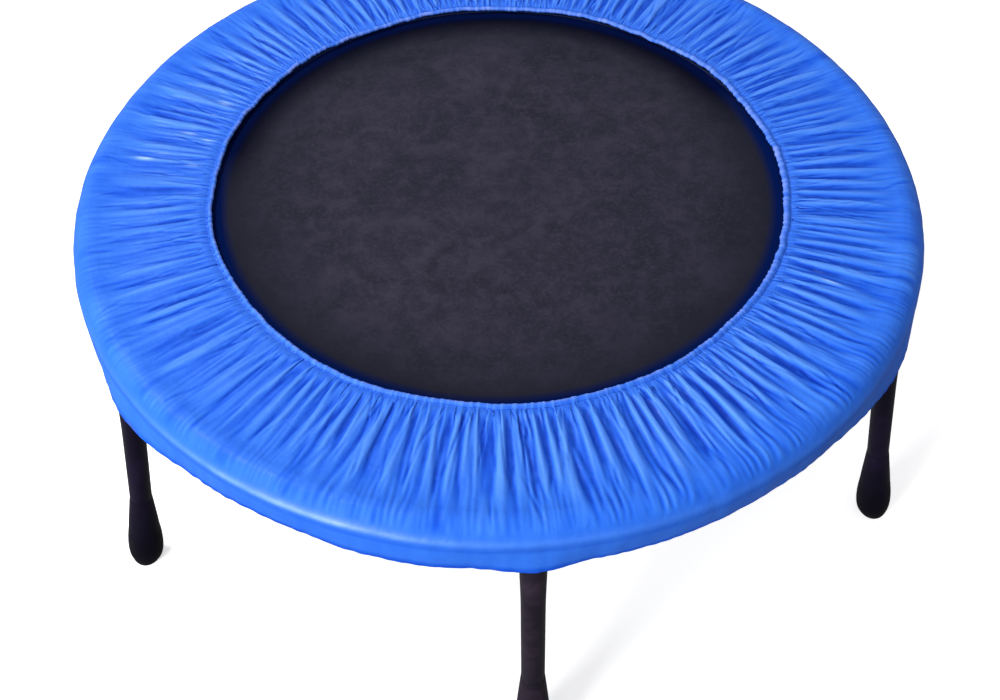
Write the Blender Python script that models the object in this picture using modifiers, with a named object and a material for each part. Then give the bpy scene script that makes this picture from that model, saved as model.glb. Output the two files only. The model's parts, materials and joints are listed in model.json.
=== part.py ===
"""Mini trampoline: a padded rebounder with six screw-in legs.

Metres, +Z up.  The origin is on the floor under the middle of the mat and
leg 1 stands on the -Y side.  A welded tube ring carries thirty coil springs
that stretch a woven mat.  A gathered cover with a foam strip under its rolled
rim hides the springs, and six legs with rubber feet screw into bosses that
are welded under the ring.

Round parts are turned from profiles of (radius, height) points.
"""

import math

import bmesh
import bpy
from mathutils import Matrix

# ---------------------------------------------------------------- dimensions
TOP = 0.365                   # highest point of the cover, from the floor
ROUND_STEPS = 60              # segments around every large ring
SMOOTH_ANGLE = math.radians(35.0)   # edges sharper than this stay sharp
GAP = 0.0003                  # clearance between the parts of a leg

# Padded cover
COVER_R = 0.485               # outside radius of the rolled rim
COVER_T = 0.0012              # cover fabric, with its lining
RIM_ROLL = 0.024              # radius of the roll
RIM_STEPS = 4                 # segments over the roll
HEM_R = 0.3265                # opening in the cover
HEM_TOP = TOP - 0.0050
HEM_BOTTOM = HEM_TOP - 0.0022
HEM_OUTER_SLOPE = 0.0030      # outward run of the upper face at the hem
HEM_INNER_SLOPE = 0.0032      # from the opening to the end of the lower face
SKIRT_R = COVER_R - 0.0012    # outside radius of the skirt's lower edge
SKIRT_INNER_R = SKIRT_R - COVER_T
SKIRT_BOTTOM = TOP - 0.051

# Upper face between hem and roll: (radius, drop below TOP)
COVER_SLOPE = [(0.372, 0.0018), (0.425, 0.0004)]

# Frame ring
RING_R = 0.464                # centre line of the tube
RING_Z = TOP - 0.021
RING_TUBE_R = 0.011           # 22 mm tube
RING_WALL = 0.0015

# Foam strip over the top of the ring tube
FOAM_IN = 0.0113              # radii about the tube's centre line
FOAM_OUT = 0.0175
FOAM_FROM = -20.0             # degrees about the tube, 0 is outward, 90 is up
FOAM_TO = 120.0
FOAM_STEPS = 5

# Jump mat, its binding and the V-shaped wire rings on its edge
MAT_FABRIC_R = 0.332
MAT_R = 0.350
MAT_Z = TOP - 0.0145
MAT_T = 0.0020
BINDING_T = 0.0044
BINDING_STEP = 0.0008         # radial run from the fabric up to the binding
V_RING_ROOT = 0.3460          # radius where its ends sit in the binding
V_RING_TIP = 0.3655
V_RING_ROOT_HALF = 0.0090     # half widths at root and tip
V_RING_TIP_HALF = 0.0030
V_RING_WIRE = 0.0014          # wire radius

# Springs, level from the ring to the mat
SPRINGS = 30
SPRING_Z = TOP - 0.0147
SPRING_WIRE = 0.0012          # wire radius
SPRING_BODY = 0.0060          # outside radius of the coils
HOOK_HOLE_R = 0.0026          # holes in the inner side of the ring
HOOK_HOLE_DEPTH = 0.018

# Spring from ring to mat: (distance from the middle, height above SPRING_Z, radius)
SPRING_PATH = [
    (0.4620, -0.0040, SPRING_WIRE), (0.4602, 0.0, SPRING_WIRE),
    (0.4475, 0.0, SPRING_WIRE), (0.4450, 0.0, SPRING_BODY),
    (0.3825, 0.0, SPRING_BODY), (0.3800, 0.0, SPRING_WIRE),
    (0.3735, 0.0040, SPRING_WIRE), (0.3655, 0.0050, SPRING_WIRE),
    (0.3605, 0.0036, SPRING_WIRE), (0.3600, -0.0030, SPRING_WIRE),
]

# Elastic cords
HEM_CORD_R = HEM_R + 0.0042
HEM_CORD_Z = MAT_Z + MAT_T / 2 + 0.0028
HEM_CORD_THICK = 0.0020       # radius of the cord itself
SKIRT_CORD_R = SKIRT_INNER_R - 0.0020
SKIRT_CORD_Z = SKIRT_BOTTOM + 0.0026
SKIRT_CORD_THICK = 0.0015

# Legs; heights along a leg run up its axis from the ring's centre line
LEGS = 6
LEG_STEPS = 14                # segments around leg and foot
FITTING_STEPS = 12            # segments around boss, stud hole and washer
LEG_FOOT_R = 0.525            # where a leg's axis meets the floor
LEG_TUBE_R = 0.0125           # 25 mm tube
LEG_WALL = 0.0015
LEG_FLARE_R = 0.0140          # the tube is flared where it meets the washer
LEG_FLARE = 0.0800            # length of the flare
LEG_FLARE_EDGE = 0.0010       # bevel of the flared end, across
LEG_FLARE_EDGE_H = 0.0012     # and along
LEG_CAP_T = 0.0035            # solid end of the tube
STUD_R = 0.0050               # M10 stud
STUD_BEVEL = 0.0010
BOSS_R = 0.0095
BOSS_HOLE = 0.0053
BOSS_START = 0.0075           # distances down the leg's axis
BOSS_END = 0.0330
STUD_HOLE_END = BOSS_END + 0.004
WASHER_T = 0.0025
WASHER_R = 0.0128
WASHER_HOLE = BOSS_HOLE + 0.0001
FOOT_R = 0.0203
FOOT_TOP = 0.1200             # length of the foot, from the floor
FOOT_SOLE = 0.0120            # rubber under the end of the tube

# Outside of a foot: (radius, height along the axis from the floor).
# It runs past the floor and is cut off level.
FOOT_OUTLINE = [
    (0.0137, FOOT_TOP), (0.0143, 0.1040), (0.0155, 0.0880), (0.0169, 0.0740),
    (0.0184, 0.0610), (0.0196, 0.0490), (FOOT_R, 0.0370), (FOOT_R, 0.0260),
    (0.0192, 0.0150), (0.0165, 0.0055), (0.0120, -0.0040), (0.0, -0.0040),
]

LEG_LEN = math.hypot(RING_Z, LEG_FOOT_R - RING_R)
SPLAY = math.atan2(LEG_FOOT_R - RING_R, RING_Z)
WASHER_TOP = -(BOSS_END + GAP)
WASHER_BOTTOM = WASHER_TOP - WASHER_T
TUBE_TOP = WASHER_BOTTOM - GAP
TUBE_BOTTOM = FOOT_SOLE - LEG_LEN

FLOOR_CUT_WIDTH = 1.4         # sides of the block below the floor
FLOOR_CUT_DEPTH = 1.0

# --------------------------------------------------------------- scene setup
for old in list(bpy.data.objects):
    bpy.data.objects.remove(old, do_unlink=True)
for old in list(bpy.data.collections):
    bpy.data.collections.remove(old)

PARTS = bpy.data.collections.new("mini_trampoline")
CUTTERS = bpy.data.collections.new("cutters")
for group in (PARTS, CUTTERS):
    bpy.context.scene.collection.children.link(group)


# ----------------------------------------------------------------- materials
def material(name, color, roughness, metallic=0.0):
    """A Principled material with the same colour in the viewport."""
    made = bpy.data.materials.new(name)
    made.use_nodes = True
    inputs = made.node_tree.nodes["Principled BSDF"].inputs
    inputs["Base Color"].default_value = (*color, 1.0)
    inputs["Roughness"].default_value = roughness
    inputs["Metallic"].default_value = metallic
    made.diffuse_color = (*color, 1.0)
    return made


BLUE = material("cover_blue", color=(0.045, 0.175, 0.800), roughness=0.38)
BLACK_WEAVE = material("mat_weave", color=(0.030, 0.028, 0.040), roughness=0.75)
BLACK_COAT = material("leg_black", color=(0.018, 0.015, 0.020), roughness=0.35)
RUBBER = material("foot_rubber", color=(0.012, 0.012, 0.013), roughness=0.70)
STEEL = material("spring_steel", color=(0.60, 0.61, 0.63), roughness=0.30, metallic=1.0)
ZINC = material("zinc_steel", color=(0.66, 0.67, 0.68), roughness=0.35, metallic=1.0)
FOAM = material("foam_grey", color=(0.30, 0.30, 0.31), roughness=0.90)
ELASTIC = material("elastic_cord", color=(0.05, 0.12, 0.42), roughness=0.80)


# ------------------------------------------------------------------- helpers
def finish(obj, surface):
    """Give a mesh object its material and smooth shading with sharp edges."""
    obj.data.materials.append(surface)
    obj.data.shade_smooth()
    obj.data.set_sharp_from_angle(angle=SMOOTH_ANGLE)


def add(name, data, collection=PARTS):
    obj = bpy.data.objects.new(name, data)
    collection.objects.link(obj)
    return obj


def as_cutter(obj):
    """Mark a boolean helper, which is not rendered."""
    obj.hide_render = True
    obj.display_type = "WIRE"
    return obj


def add_bmesh_cutter(name, bm):
    """Make a cutter object of a bmesh, and free the bmesh."""
    mesh = bpy.data.meshes.new(name)
    bm.to_mesh(mesh)
    bm.free()
    return as_cutter(add(name, mesh, CUTTERS))


def adopt_active(name, collection):
    """Name the primitive just added and move it to a collection."""
    obj = bpy.context.active_object
    obj.name = name
    for owner in list(obj.users_collection):
        owner.objects.unlink(obj)
    collection.objects.link(obj)
    return obj


def torus(name, radius, thick, height, sides, collection=PARTS):
    """A level ring of round section; thick is the section's radius."""
    bpy.ops.mesh.primitive_torus_add(
        major_segments=ROUND_STEPS, minor_segments=sides,
        major_radius=radius, minor_radius=thick,
        location=(0.0, 0.0, height),
    )
    return adopt_active(name, collection)


def turned(name, profile, steps, surface, closed=False):
    """A (radius, height) profile turned about the local Z axis."""
    mesh = bpy.data.meshes.new(name)
    bm = bmesh.new()
    verts = [bm.verts.new((radius, 0.0, z)) for radius, z in profile]
    for start, end in zip(verts, verts[1:]):
        bm.edges.new((start, end))
    if closed:
        bm.edges.new((verts[-1], verts[0]))
    bm.to_mesh(mesh)
    bm.free()
    obj = add(name, mesh)
    turn = obj.modifiers.new("turn", "SCREW")
    turn.axis = "Z"
    turn.angle = math.tau
    turn.steps = steps
    turn.render_steps = steps
    turn.use_merge_vertices = True
    turn.merge_threshold = 0.00005
    turn.use_smooth_shade = True
    finish(obj, surface)
    return obj


def boolean(obj, other, operation):
    modifier = obj.modifiers.new(operation.lower(), "BOOLEAN")
    modifier.operation = operation
    modifier.solver = "EXACT"
    modifier.object = other


def cylinders(name, frames, radius, depth, sides):
    """A cutter of capped cylinders, each along its frame's Z from 0 to depth."""
    bm = bmesh.new()
    for frame in frames:
        bmesh.ops.create_cone(
            bm, cap_ends=True, cap_tris=False, segments=sides,
            radius1=radius, radius2=radius, depth=depth,
            matrix=frame @ Matrix.Translation((0.0, 0.0, depth / 2)),
        )
    return add_bmesh_cutter(name, bm)


def wire(name, stations, bevel_radius, collection=PARTS):
    """A round, capped curve through stations of (x, y, z, radius)."""
    data = bpy.data.curves.new(name, "CURVE")
    data.dimensions = "3D"
    data.bevel_depth = bevel_radius
    data.bevel_resolution = 1
    data.render_resolution_u = 0
    data.use_fill_caps = True
    spline = data.splines.new("POLY")
    spline.points.add(len(stations) - 1)
    for point, (x, y, z, radius) in zip(spline.points, stations):
        point.co = (x, y, z, 1.0)
        point.radius = radius / bevel_radius
    return add(name, data, collection)


def take_mesh(curve):
    """Replace a capped curve object by a welded mesh, which is returned."""
    depsgraph = bpy.context.evaluated_depsgraph_get()
    mesh = bpy.data.meshes.new_from_object(curve.evaluated_get(depsgraph))
    bpy.data.objects.remove(curve, do_unlink=True)
    bm = bmesh.new()
    bm.from_mesh(mesh)
    bmesh.ops.remove_doubles(bm, verts=bm.verts, dist=0.00002)
    bmesh.ops.recalc_face_normals(bm, faces=bm.faces)
    bm.to_mesh(mesh)
    bm.free()
    return mesh


def arc(center_r, center_z, radius, start, end, steps):
    """Profile points on an arc; degrees, 0 is outward and 90 is up."""
    angles = [math.radians(start + (end - start) * k / steps) for k in range(steps + 1)]
    return [(center_r + radius * math.cos(a), center_z + radius * math.sin(a)) for a in angles]


def facing(place, count):
    """A frame at the middle with +X outward; place 0 is -Y, counted towards +X."""
    return Matrix.Rotation(math.tau * place / count - math.pi / 2, 4, "Z")


def spring_frame(index):
    """Springs sit half a pitch round from -Y."""
    return facing(index + 0.5, SPRINGS)


def leg_frame(index):
    """A leg's frame: origin on the ring's centre line, +Z up its axis."""
    base = facing(index, LEGS) @ Matrix.Translation((RING_R, 0.0, RING_Z))
    return base @ Matrix.Rotation(-SPLAY, 4, "Y")


# --------------------------------------------------------------------- parts
def build_frame_ring():
    """Tube ring with welded bosses, stud holes and holes for the spring hooks."""
    ring = torus("frame_ring", RING_R, RING_TUBE_R, RING_Z, sides=8)
    bore = as_cutter(
        torus("ring_bore", RING_R, RING_TUBE_R - RING_WALL, RING_Z, sides=6, collection=CUTTERS)
    )
    down_legs = [leg_frame(i) @ Matrix.Rotation(math.pi, 4, "X") for i in range(LEGS)]
    to_boss = Matrix.Translation((0.0, 0.0, BOSS_START))
    bosses = cylinders("leg_bosses", [frame @ to_boss for frame in down_legs],
                       BOSS_R, BOSS_END - BOSS_START, FITTING_STEPS)
    stud_holes = cylinders("stud_holes", down_legs, BOSS_HOLE, STUD_HOLE_END, FITTING_STEPS)

    # Each hook hole runs outward and ends at the tube's centre line
    to_hole = Matrix.Translation((RING_R - HOOK_HOLE_DEPTH, 0.0, SPRING_Z))
    outward = Matrix.Rotation(math.pi / 2, 4, "Y")
    hook_holes = cylinders(
        "hook_holes", [spring_frame(i) @ to_hole @ outward for i in range(SPRINGS)],
        HOOK_HOLE_R, HOOK_HOLE_DEPTH, sides=6,
    )
    boolean(ring, bosses, "UNION")
    for cutter in (bore, stud_holes, hook_holes):
        boolean(ring, cutter, "DIFFERENCE")
    finish(ring, BLACK_COAT)


def build_v_rings():
    """One V-shaped wire per spring, open towards the middle."""
    outline = [
        (V_RING_ROOT, -V_RING_ROOT_HALF), (V_RING_TIP, -V_RING_TIP_HALF),
        (V_RING_TIP, V_RING_TIP_HALF), (V_RING_ROOT, V_RING_ROOT_HALF),
    ]
    stations = [(x, y, MAT_Z, V_RING_WIRE) for x, y in outline]
    single = take_mesh(wire("v_ring", stations, V_RING_WIRE, CUTTERS))
    joined = bmesh.new()
    for i in range(SPRINGS):
        placed = single.copy()
        placed.transform(spring_frame(i))
        joined.from_mesh(placed)
        bpy.data.meshes.remove(placed)
    return add_bmesh_cutter("v_rings", joined)


def build_jump_mat():
    """Woven mat with a thicker bound edge that holds the V-rings."""
    upper = [
        (0.0, MAT_T / 2),
        (MAT_FABRIC_R, MAT_T / 2),
        (MAT_FABRIC_R + BINDING_STEP, BINDING_T / 2),
        (MAT_R, BINDING_T / 2),
    ]
    profile = [(radius, MAT_Z + z) for radius, z in upper]
    profile += [(radius, MAT_Z - z) for radius, z in reversed(upper)]
    mat = turned("jump_mat", profile, ROUND_STEPS, BLACK_WEAVE)
    boolean(mat, build_v_rings(), "UNION")


def build_springs():
    """Springs share one curve; the coils are a plain thick body."""
    stations = [(x, 0.0, SPRING_Z + z, radius) for x, z, radius in SPRING_PATH]
    first = wire("spring_01", stations, SPRING_WIRE)
    first.data.materials.append(STEEL)
    first.matrix_world = spring_frame(0)
    for i in range(1, SPRINGS):
        add(f"spring_{i + 1:02d}", first.data).matrix_world = spring_frame(i)


def build_cover():
    """Fabric from the hem, over the rolled rim and down the skirt."""
    roll_r = COVER_R - RIM_ROLL
    roll_z = TOP - RIM_ROLL
    outer = [(HEM_R, HEM_BOTTOM), (HEM_R + HEM_OUTER_SLOPE, HEM_TOP)]
    outer += [(radius, TOP - drop) for radius, drop in COVER_SLOPE]
    outer += arc(roll_r, roll_z, RIM_ROLL, 90.0, 0.0, RIM_STEPS)
    outer.append((SKIRT_R, SKIRT_BOTTOM))
    inner = [(SKIRT_INNER_R, SKIRT_BOTTOM)]
    inner += arc(roll_r, roll_z, RIM_ROLL - COVER_T, 0.0, 90.0, RIM_STEPS)
    inner += [(radius, TOP - drop - COVER_T) for radius, drop in reversed(COVER_SLOPE)]
    inner.append((HEM_R + HEM_INNER_SLOPE, HEM_BOTTOM))
    turned("pad_cover", outer + inner, ROUND_STEPS, BLUE, closed=True)


def build_foam_strip():
    profile = arc(RING_R, RING_Z, FOAM_OUT, FOAM_TO, FOAM_FROM, FOAM_STEPS)
    profile += arc(RING_R, RING_Z, FOAM_IN, FOAM_FROM, FOAM_TO, FOAM_STEPS)
    turned("foam_strip", profile, ROUND_STEPS, FOAM, closed=True)


def build_elastics():
    """Cords in the cover's hem and at the foot of its skirt."""
    for name, radius, thick, height in (
        ("hem_elastic", HEM_CORD_R, HEM_CORD_THICK, HEM_CORD_Z),
        ("skirt_elastic", SKIRT_CORD_R, SKIRT_CORD_THICK, SKIRT_CORD_Z),
    ):
        finish(torus(name, radius, thick, height, sides=5), ELASTIC)


def build_floor_cut():
    """A block with its top on the floor, which cuts the feet level."""
    bpy.ops.mesh.primitive_cube_add(size=1.0, location=(0.0, 0.0, -FLOOR_CUT_DEPTH / 2))
    block = as_cutter(adopt_active("floor_cut", CUTTERS))
    size = (FLOOR_CUT_WIDTH, FLOOR_CUT_WIDTH, FLOOR_CUT_DEPTH, 1.0)
    block.data.transform(Matrix.Diagonal(size))
    return block


def build_washer(number):
    profile = [
        (WASHER_HOLE, WASHER_BOTTOM), (WASHER_HOLE, WASHER_TOP),
        (WASHER_R, WASHER_TOP), (WASHER_R, WASHER_BOTTOM),
    ]
    return turned(f"leg_washer_{number}", profile, FITTING_STEPS, ZINC, closed=True)


def build_leg(number):
    """Stud, flared top and open-ended tube in one piece."""
    bore_r = LEG_TUBE_R - LEG_WALL
    profile = [
        (0.0, STUD_BEVEL),
        (STUD_R - STUD_BEVEL, STUD_BEVEL),
        (STUD_R, 0.0),
        (STUD_R, TUBE_TOP),
        (LEG_FLARE_R - LEG_FLARE_EDGE, TUBE_TOP),
        (LEG_FLARE_R, TUBE_TOP - LEG_FLARE_EDGE_H),
        (LEG_TUBE_R + 0.0004, TUBE_TOP - 0.6 * LEG_FLARE),   # bend in the flare
        (LEG_TUBE_R, TUBE_TOP - LEG_FLARE),
        (LEG_TUBE_R, TUBE_BOTTOM),
        (bore_r, TUBE_BOTTOM),
        (bore_r, TUBE_TOP - LEG_CAP_T),
        (0.0, TUBE_TOP - LEG_CAP_T),
    ]
    return turned(f"leg_{number}", profile, LEG_STEPS, BLACK_COAT)


def build_foot(number, floor_cut):
    """Rubber sleeve with a sole, around the lower end of the tube."""
    socket_r = LEG_TUBE_R + GAP
    sole_top = TUBE_BOTTOM - GAP
    profile = [(0.0, sole_top), (socket_r, sole_top), (socket_r, FOOT_TOP - LEG_LEN)]
    profile += [(radius, height - LEG_LEN) for radius, height in FOOT_OUTLINE]
    foot = turned(f"rubber_foot_{number}", profile, LEG_STEPS, RUBBER)
    boolean(foot, floor_cut, "DIFFERENCE")
    return foot


def build_legs():
    """Each leg's washer, tube and foot hang on an empty on its axis."""
    floor_cut = build_floor_cut()
    for i in range(LEGS):
        number = i + 1
        axis = add(f"leg_{number}_axis", None)
        axis.empty_display_size = 0.02
        axis.matrix_world = leg_frame(i)
        for part in (build_washer(number), build_leg(number), build_foot(number, floor_cut)):
            part.parent = axis


build_frame_ring()
build_jump_mat()
build_springs()
build_cover()
build_foam_strip()
build_elastics()
build_legs()
bpy.context.view_layer.update()
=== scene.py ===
"""Looks of a mini trampoline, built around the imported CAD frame.

Metres, +Z up.  The round frame is centred on the Z axis and the feet stand on z = 0.
The front is -Y and the right is +X.  Angles round the rim start at the front and turn
by the right.  A pleated cover hides the ring, the foam and the springs; six legs lean
out from bosses under the ring.
"""
import json
import math

import bmesh
import bpy
import numpy as np
from mathutils import Matrix, Vector


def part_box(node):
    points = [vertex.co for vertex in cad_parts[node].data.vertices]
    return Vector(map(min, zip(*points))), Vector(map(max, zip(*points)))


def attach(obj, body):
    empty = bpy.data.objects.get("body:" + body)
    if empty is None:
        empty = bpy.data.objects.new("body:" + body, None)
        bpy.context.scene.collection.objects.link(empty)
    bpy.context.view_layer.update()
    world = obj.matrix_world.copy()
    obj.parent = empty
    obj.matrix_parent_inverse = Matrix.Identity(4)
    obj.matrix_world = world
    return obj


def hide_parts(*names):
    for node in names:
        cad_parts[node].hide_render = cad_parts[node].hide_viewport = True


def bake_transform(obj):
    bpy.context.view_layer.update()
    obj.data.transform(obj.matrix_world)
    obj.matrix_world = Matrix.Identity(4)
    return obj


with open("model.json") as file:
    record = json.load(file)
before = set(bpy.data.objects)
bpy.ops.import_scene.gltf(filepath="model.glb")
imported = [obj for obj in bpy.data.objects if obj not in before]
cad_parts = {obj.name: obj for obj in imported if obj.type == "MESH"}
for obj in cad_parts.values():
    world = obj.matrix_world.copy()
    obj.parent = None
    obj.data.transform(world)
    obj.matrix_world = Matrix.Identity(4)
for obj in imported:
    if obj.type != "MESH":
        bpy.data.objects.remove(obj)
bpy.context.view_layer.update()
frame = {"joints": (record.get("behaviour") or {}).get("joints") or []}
TAU = math.tau

# ------------------------------------------------------------ main sizes
cover_low, cover_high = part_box("pad_cover")
mat_low, mat_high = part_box("jump_mat")
TOP = float(cover_high[2])
COVER_R = float(cover_high[0])
SKIRT_LOW = float(cover_low[2]) - 0.005     # the skirt hangs a little below the solid
MAT_MID = float((mat_low[2] + mat_high[2]) / 2)
MAT_TOP = MAT_MID + 0.0010
RING_R = 0.464
RING_Z = TOP - 0.021
RING_TUBE = 0.011
SPRING_Z = TOP - 0.0147
SPRINGS = 30
LEGS = 6
BOSS_END = -0.033       # along the leg's axis, from the ring's centre line
JOINTS = {joint["name"]: joint for joint in frame["joints"]}


def around(index, count, offset=0.0):
    return TAU * (index + offset) / count


def facing(angle):
    """Turns local +X outward at an angle round the rim."""
    return Matrix.Rotation(angle - math.pi / 2, 4, "Z")


def leg_joint(index):
    """The top of a leg on the ring's centre line, and the direction up its axis."""
    joint = JOINTS["leg_%d_turn" % (index + 1)]
    return Vector(joint["pos_m"]), Vector(joint["axis"]).normalized()


def leg_frame(index):
    """Origin on the ring's centre line, +Z up the leg's axis, +X outward."""
    origin, up = leg_joint(index)
    angle = around(index, LEGS)
    outward = Vector((math.sin(angle), -math.cos(angle), 0.0))
    side = up.cross(outward).normalized()
    matrix = Matrix((side.cross(up).normalized(), side, up)).transposed().to_4x4()
    matrix.translation = origin
    return matrix


LEG_LENGTH = leg_joint(0)[0].z / leg_joint(0)[1].z

# ------------------------------------------------------------ shader nodes


class Graph:
    """A short way to write a node tree."""

    def __init__(self, tree):
        self.tree = tree

    def feed(self, socket, value):
        """Set a socket to a number or a colour, or link an output to it."""
        if isinstance(value, (int, float)):
            socket.default_value = value
        elif isinstance(value, tuple):
            socket.default_value = (*value, 1.0)
        else:
            self.tree.links.new(value, socket)

    def node(self, kind, output, inputs, **settings):
        """One output of a new node."""
        node = self.tree.nodes.new(kind)
        for key, value in settings.items():
            setattr(node, key, value)
        for key, value in inputs.items():
            self.feed(node.inputs[key], value)
        return node.outputs[output]

    def axes(self, vector):
        """The X, Y and Z of a vector."""
        return self.node("ShaderNodeSeparateXYZ", "X", {0: vector}).node.outputs

    def noise(self, vector, scale, detail=3.0, rough=0.5, distortion=0.0):
        return self.node("ShaderNodeTexNoise", "Fac", {
            "Vector": vector, "Scale": scale, "Detail": detail, "Roughness": rough,
            "Distortion": distortion})

    def voronoi(self, vector, scale):
        return self.node("ShaderNodeTexVoronoi", "Distance", {"Vector": vector, "Scale": scale})

    def wave(self, vector, scale, direction, distortion=0.0):
        return self.node("ShaderNodeTexWave", "Fac", {
            "Vector": vector, "Scale": scale, "Distortion": distortion, "Detail": 0.0},
            bands_direction=direction)

    def attribute(self, name):
        return self.node("ShaderNodeAttribute", "Fac", {}, attribute_name=name)

    def calc(self, operation, first, second=0.0):
        return self.node("ShaderNodeMath", "Value", {0: first, 1: second}, operation=operation)

    def plus(self, first, second):
        return self.calc("ADD", first, second)

    def times(self, product, *factors):
        for factor in factors:
            product = self.calc("MULTIPLY", product, factor)
        return product

    def remap(self, value, span, to=(0.0, 1.0), smooth=False):
        """A span of values carried to another span, and clamped there."""
        return self.node("ShaderNodeMapRange", "Result", {
            "Value": value, "From Min": span[0], "From Max": span[1],
            "To Min": to[0], "To Max": to[1]},
            clamp=True, interpolation_type="SMOOTHSTEP" if smooth else "LINEAR")

    def ramp(self, value, stops):
        """Colours at (position, colour) stops."""
        color = self.node("ShaderNodeValToRGB", "Color", {"Fac": value})
        elements = color.node.color_ramp.elements
        while len(elements) < len(stops):
            elements.new(0.5)
        for element, (position, stop) in zip(elements, stops):
            element.position = position
            element.color = (*stop, 1.0)
        return color

    def mix(self, factor, first, second):
        return self.node("ShaderNodeMix", 2, {0: factor, 6: first, 7: second}, data_type="RGBA")

    def bumps(self, *layers):
        """Bumps one over another, each a (height, distance, strength)."""
        normal = None
        for height, distance, strength in layers:
            inputs = {"Height": height, "Distance": distance, "Strength": strength}
            if normal is not None:
                inputs["Normal"] = normal
            normal = self.node("ShaderNodeBump", "Normal", inputs)
        return normal


class Look(Graph):
    """A material round one Principled shader."""

    def __init__(self, name, view_color):
        self.material = bpy.data.materials.new(name)
        self.material.use_nodes = True
        self.material.diffuse_color = (*view_color, 1.0)
        super().__init__(self.material.node_tree)
        self.shader = self.tree.nodes["Principled BSDF"]

    def coords(self):
        where = self.node("ShaderNodeTexCoord", "Object", {})
        return self.node("ShaderNodeMapping", "Vector", {"Vector": where})

    def finish(self, color, rough, normal=None, specular=None, metallic=None):
        inputs = {"Base Color": color, "Roughness": rough, "Normal": normal,
                  "Specular IOR Level": specular, "Metallic": metallic}
        for key, value in inputs.items():
            if value is not None:
                self.feed(self.shader.inputs[key], value)
        return self.material


# ------------------------------------------------------------ materials


def cover_look():
    look = Look("cover_satin", (0.05, 0.18, 0.85))
    pos = look.coords()
    painted_shading = look.attribute("painted_shading")       # 0 in a fold's valley, 1 on its ridge
    wear_and_highlight = look.attribute("hem_wear_and_highlight")       # 1 on the hem bead
    blotch = look.noise(pos, scale=9.0, rough=0.55)
    fine = look.noise(pos, scale=60.0, detail=2.0)
    # painted shade in the folds' valleys and painted highlight on their ridges
    color = look.ramp(painted_shading, [
        (0.00, (0.0030, 0.039, 0.430)), (0.25, (0.010, 0.092, 0.660)),
        (0.50, (0.026, 0.149, 0.745)), (0.75, (0.046, 0.200, 0.815)),
        (1.00, (0.082, 0.262, 0.870))])
    color = look.mix(look.remap(blotch, (0.35, 0.68), to=(0.0, 0.30)),
                     color, (0.018, 0.130, 0.720))
    color = look.mix(look.remap(fine, (0.45, 0.75), to=(0.0, 0.24)),
                     color, (0.042, 0.204, 0.815))
    # the hem bead is painted paler on its upper inner side: partly wear, partly a painted
    # highlight
    color = look.mix(look.times(wear_and_highlight, look.remap(fine, (0.3, 0.6), to=(0.55, 0.95))),
                     color, (0.190, 0.290, 0.840))
    # painted glints: a few folds are painted bright, as painted highlights
    painted_glint = look.attribute("painted_glint")
    color = look.mix(look.times(painted_glint, look.remap(fine, (0.3, 0.6), to=(0.6, 1.0))),
                     color, (0.480, 0.720, 1.000))
    # coated cloth: a fine weave under soft crinkles
    weave = look.times(look.wave(pos, scale=420.0, direction="X"),
                       look.wave(pos, scale=420.0, direction="Y"))
    crinkle = look.noise(pos, scale=110.0, detail=4.0, rough=0.60, distortion=0.6)
    dent = look.noise(pos, scale=34.0, rough=0.55, distortion=0.3)
    normal = look.bumps((weave, 0.00005, 0.30), (crinkle, 0.0009, 0.40), (dent, 0.0035, 0.42))
    rough = look.remap(look.noise(pos, scale=26.0, rough=0.6), (0.3, 0.7), to=(0.34, 0.50))
    # the stretched edge of the rim shines, the skirt below it is dull
    sheen = look.attribute("sheen")
    rough = look.calc("SUBTRACT", rough, look.remap(sheen, (0.5, 1.0), to=(0.0, 0.08)))
    gloss = look.times(look.remap(sheen, (0.0, 1.0), to=(0.05, 0.55)),
                       look.remap(painted_shading, (0.10, 0.50), to=(0.35, 1.0)))
    return look.finish(color, rough, normal, specular=gloss)


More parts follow.
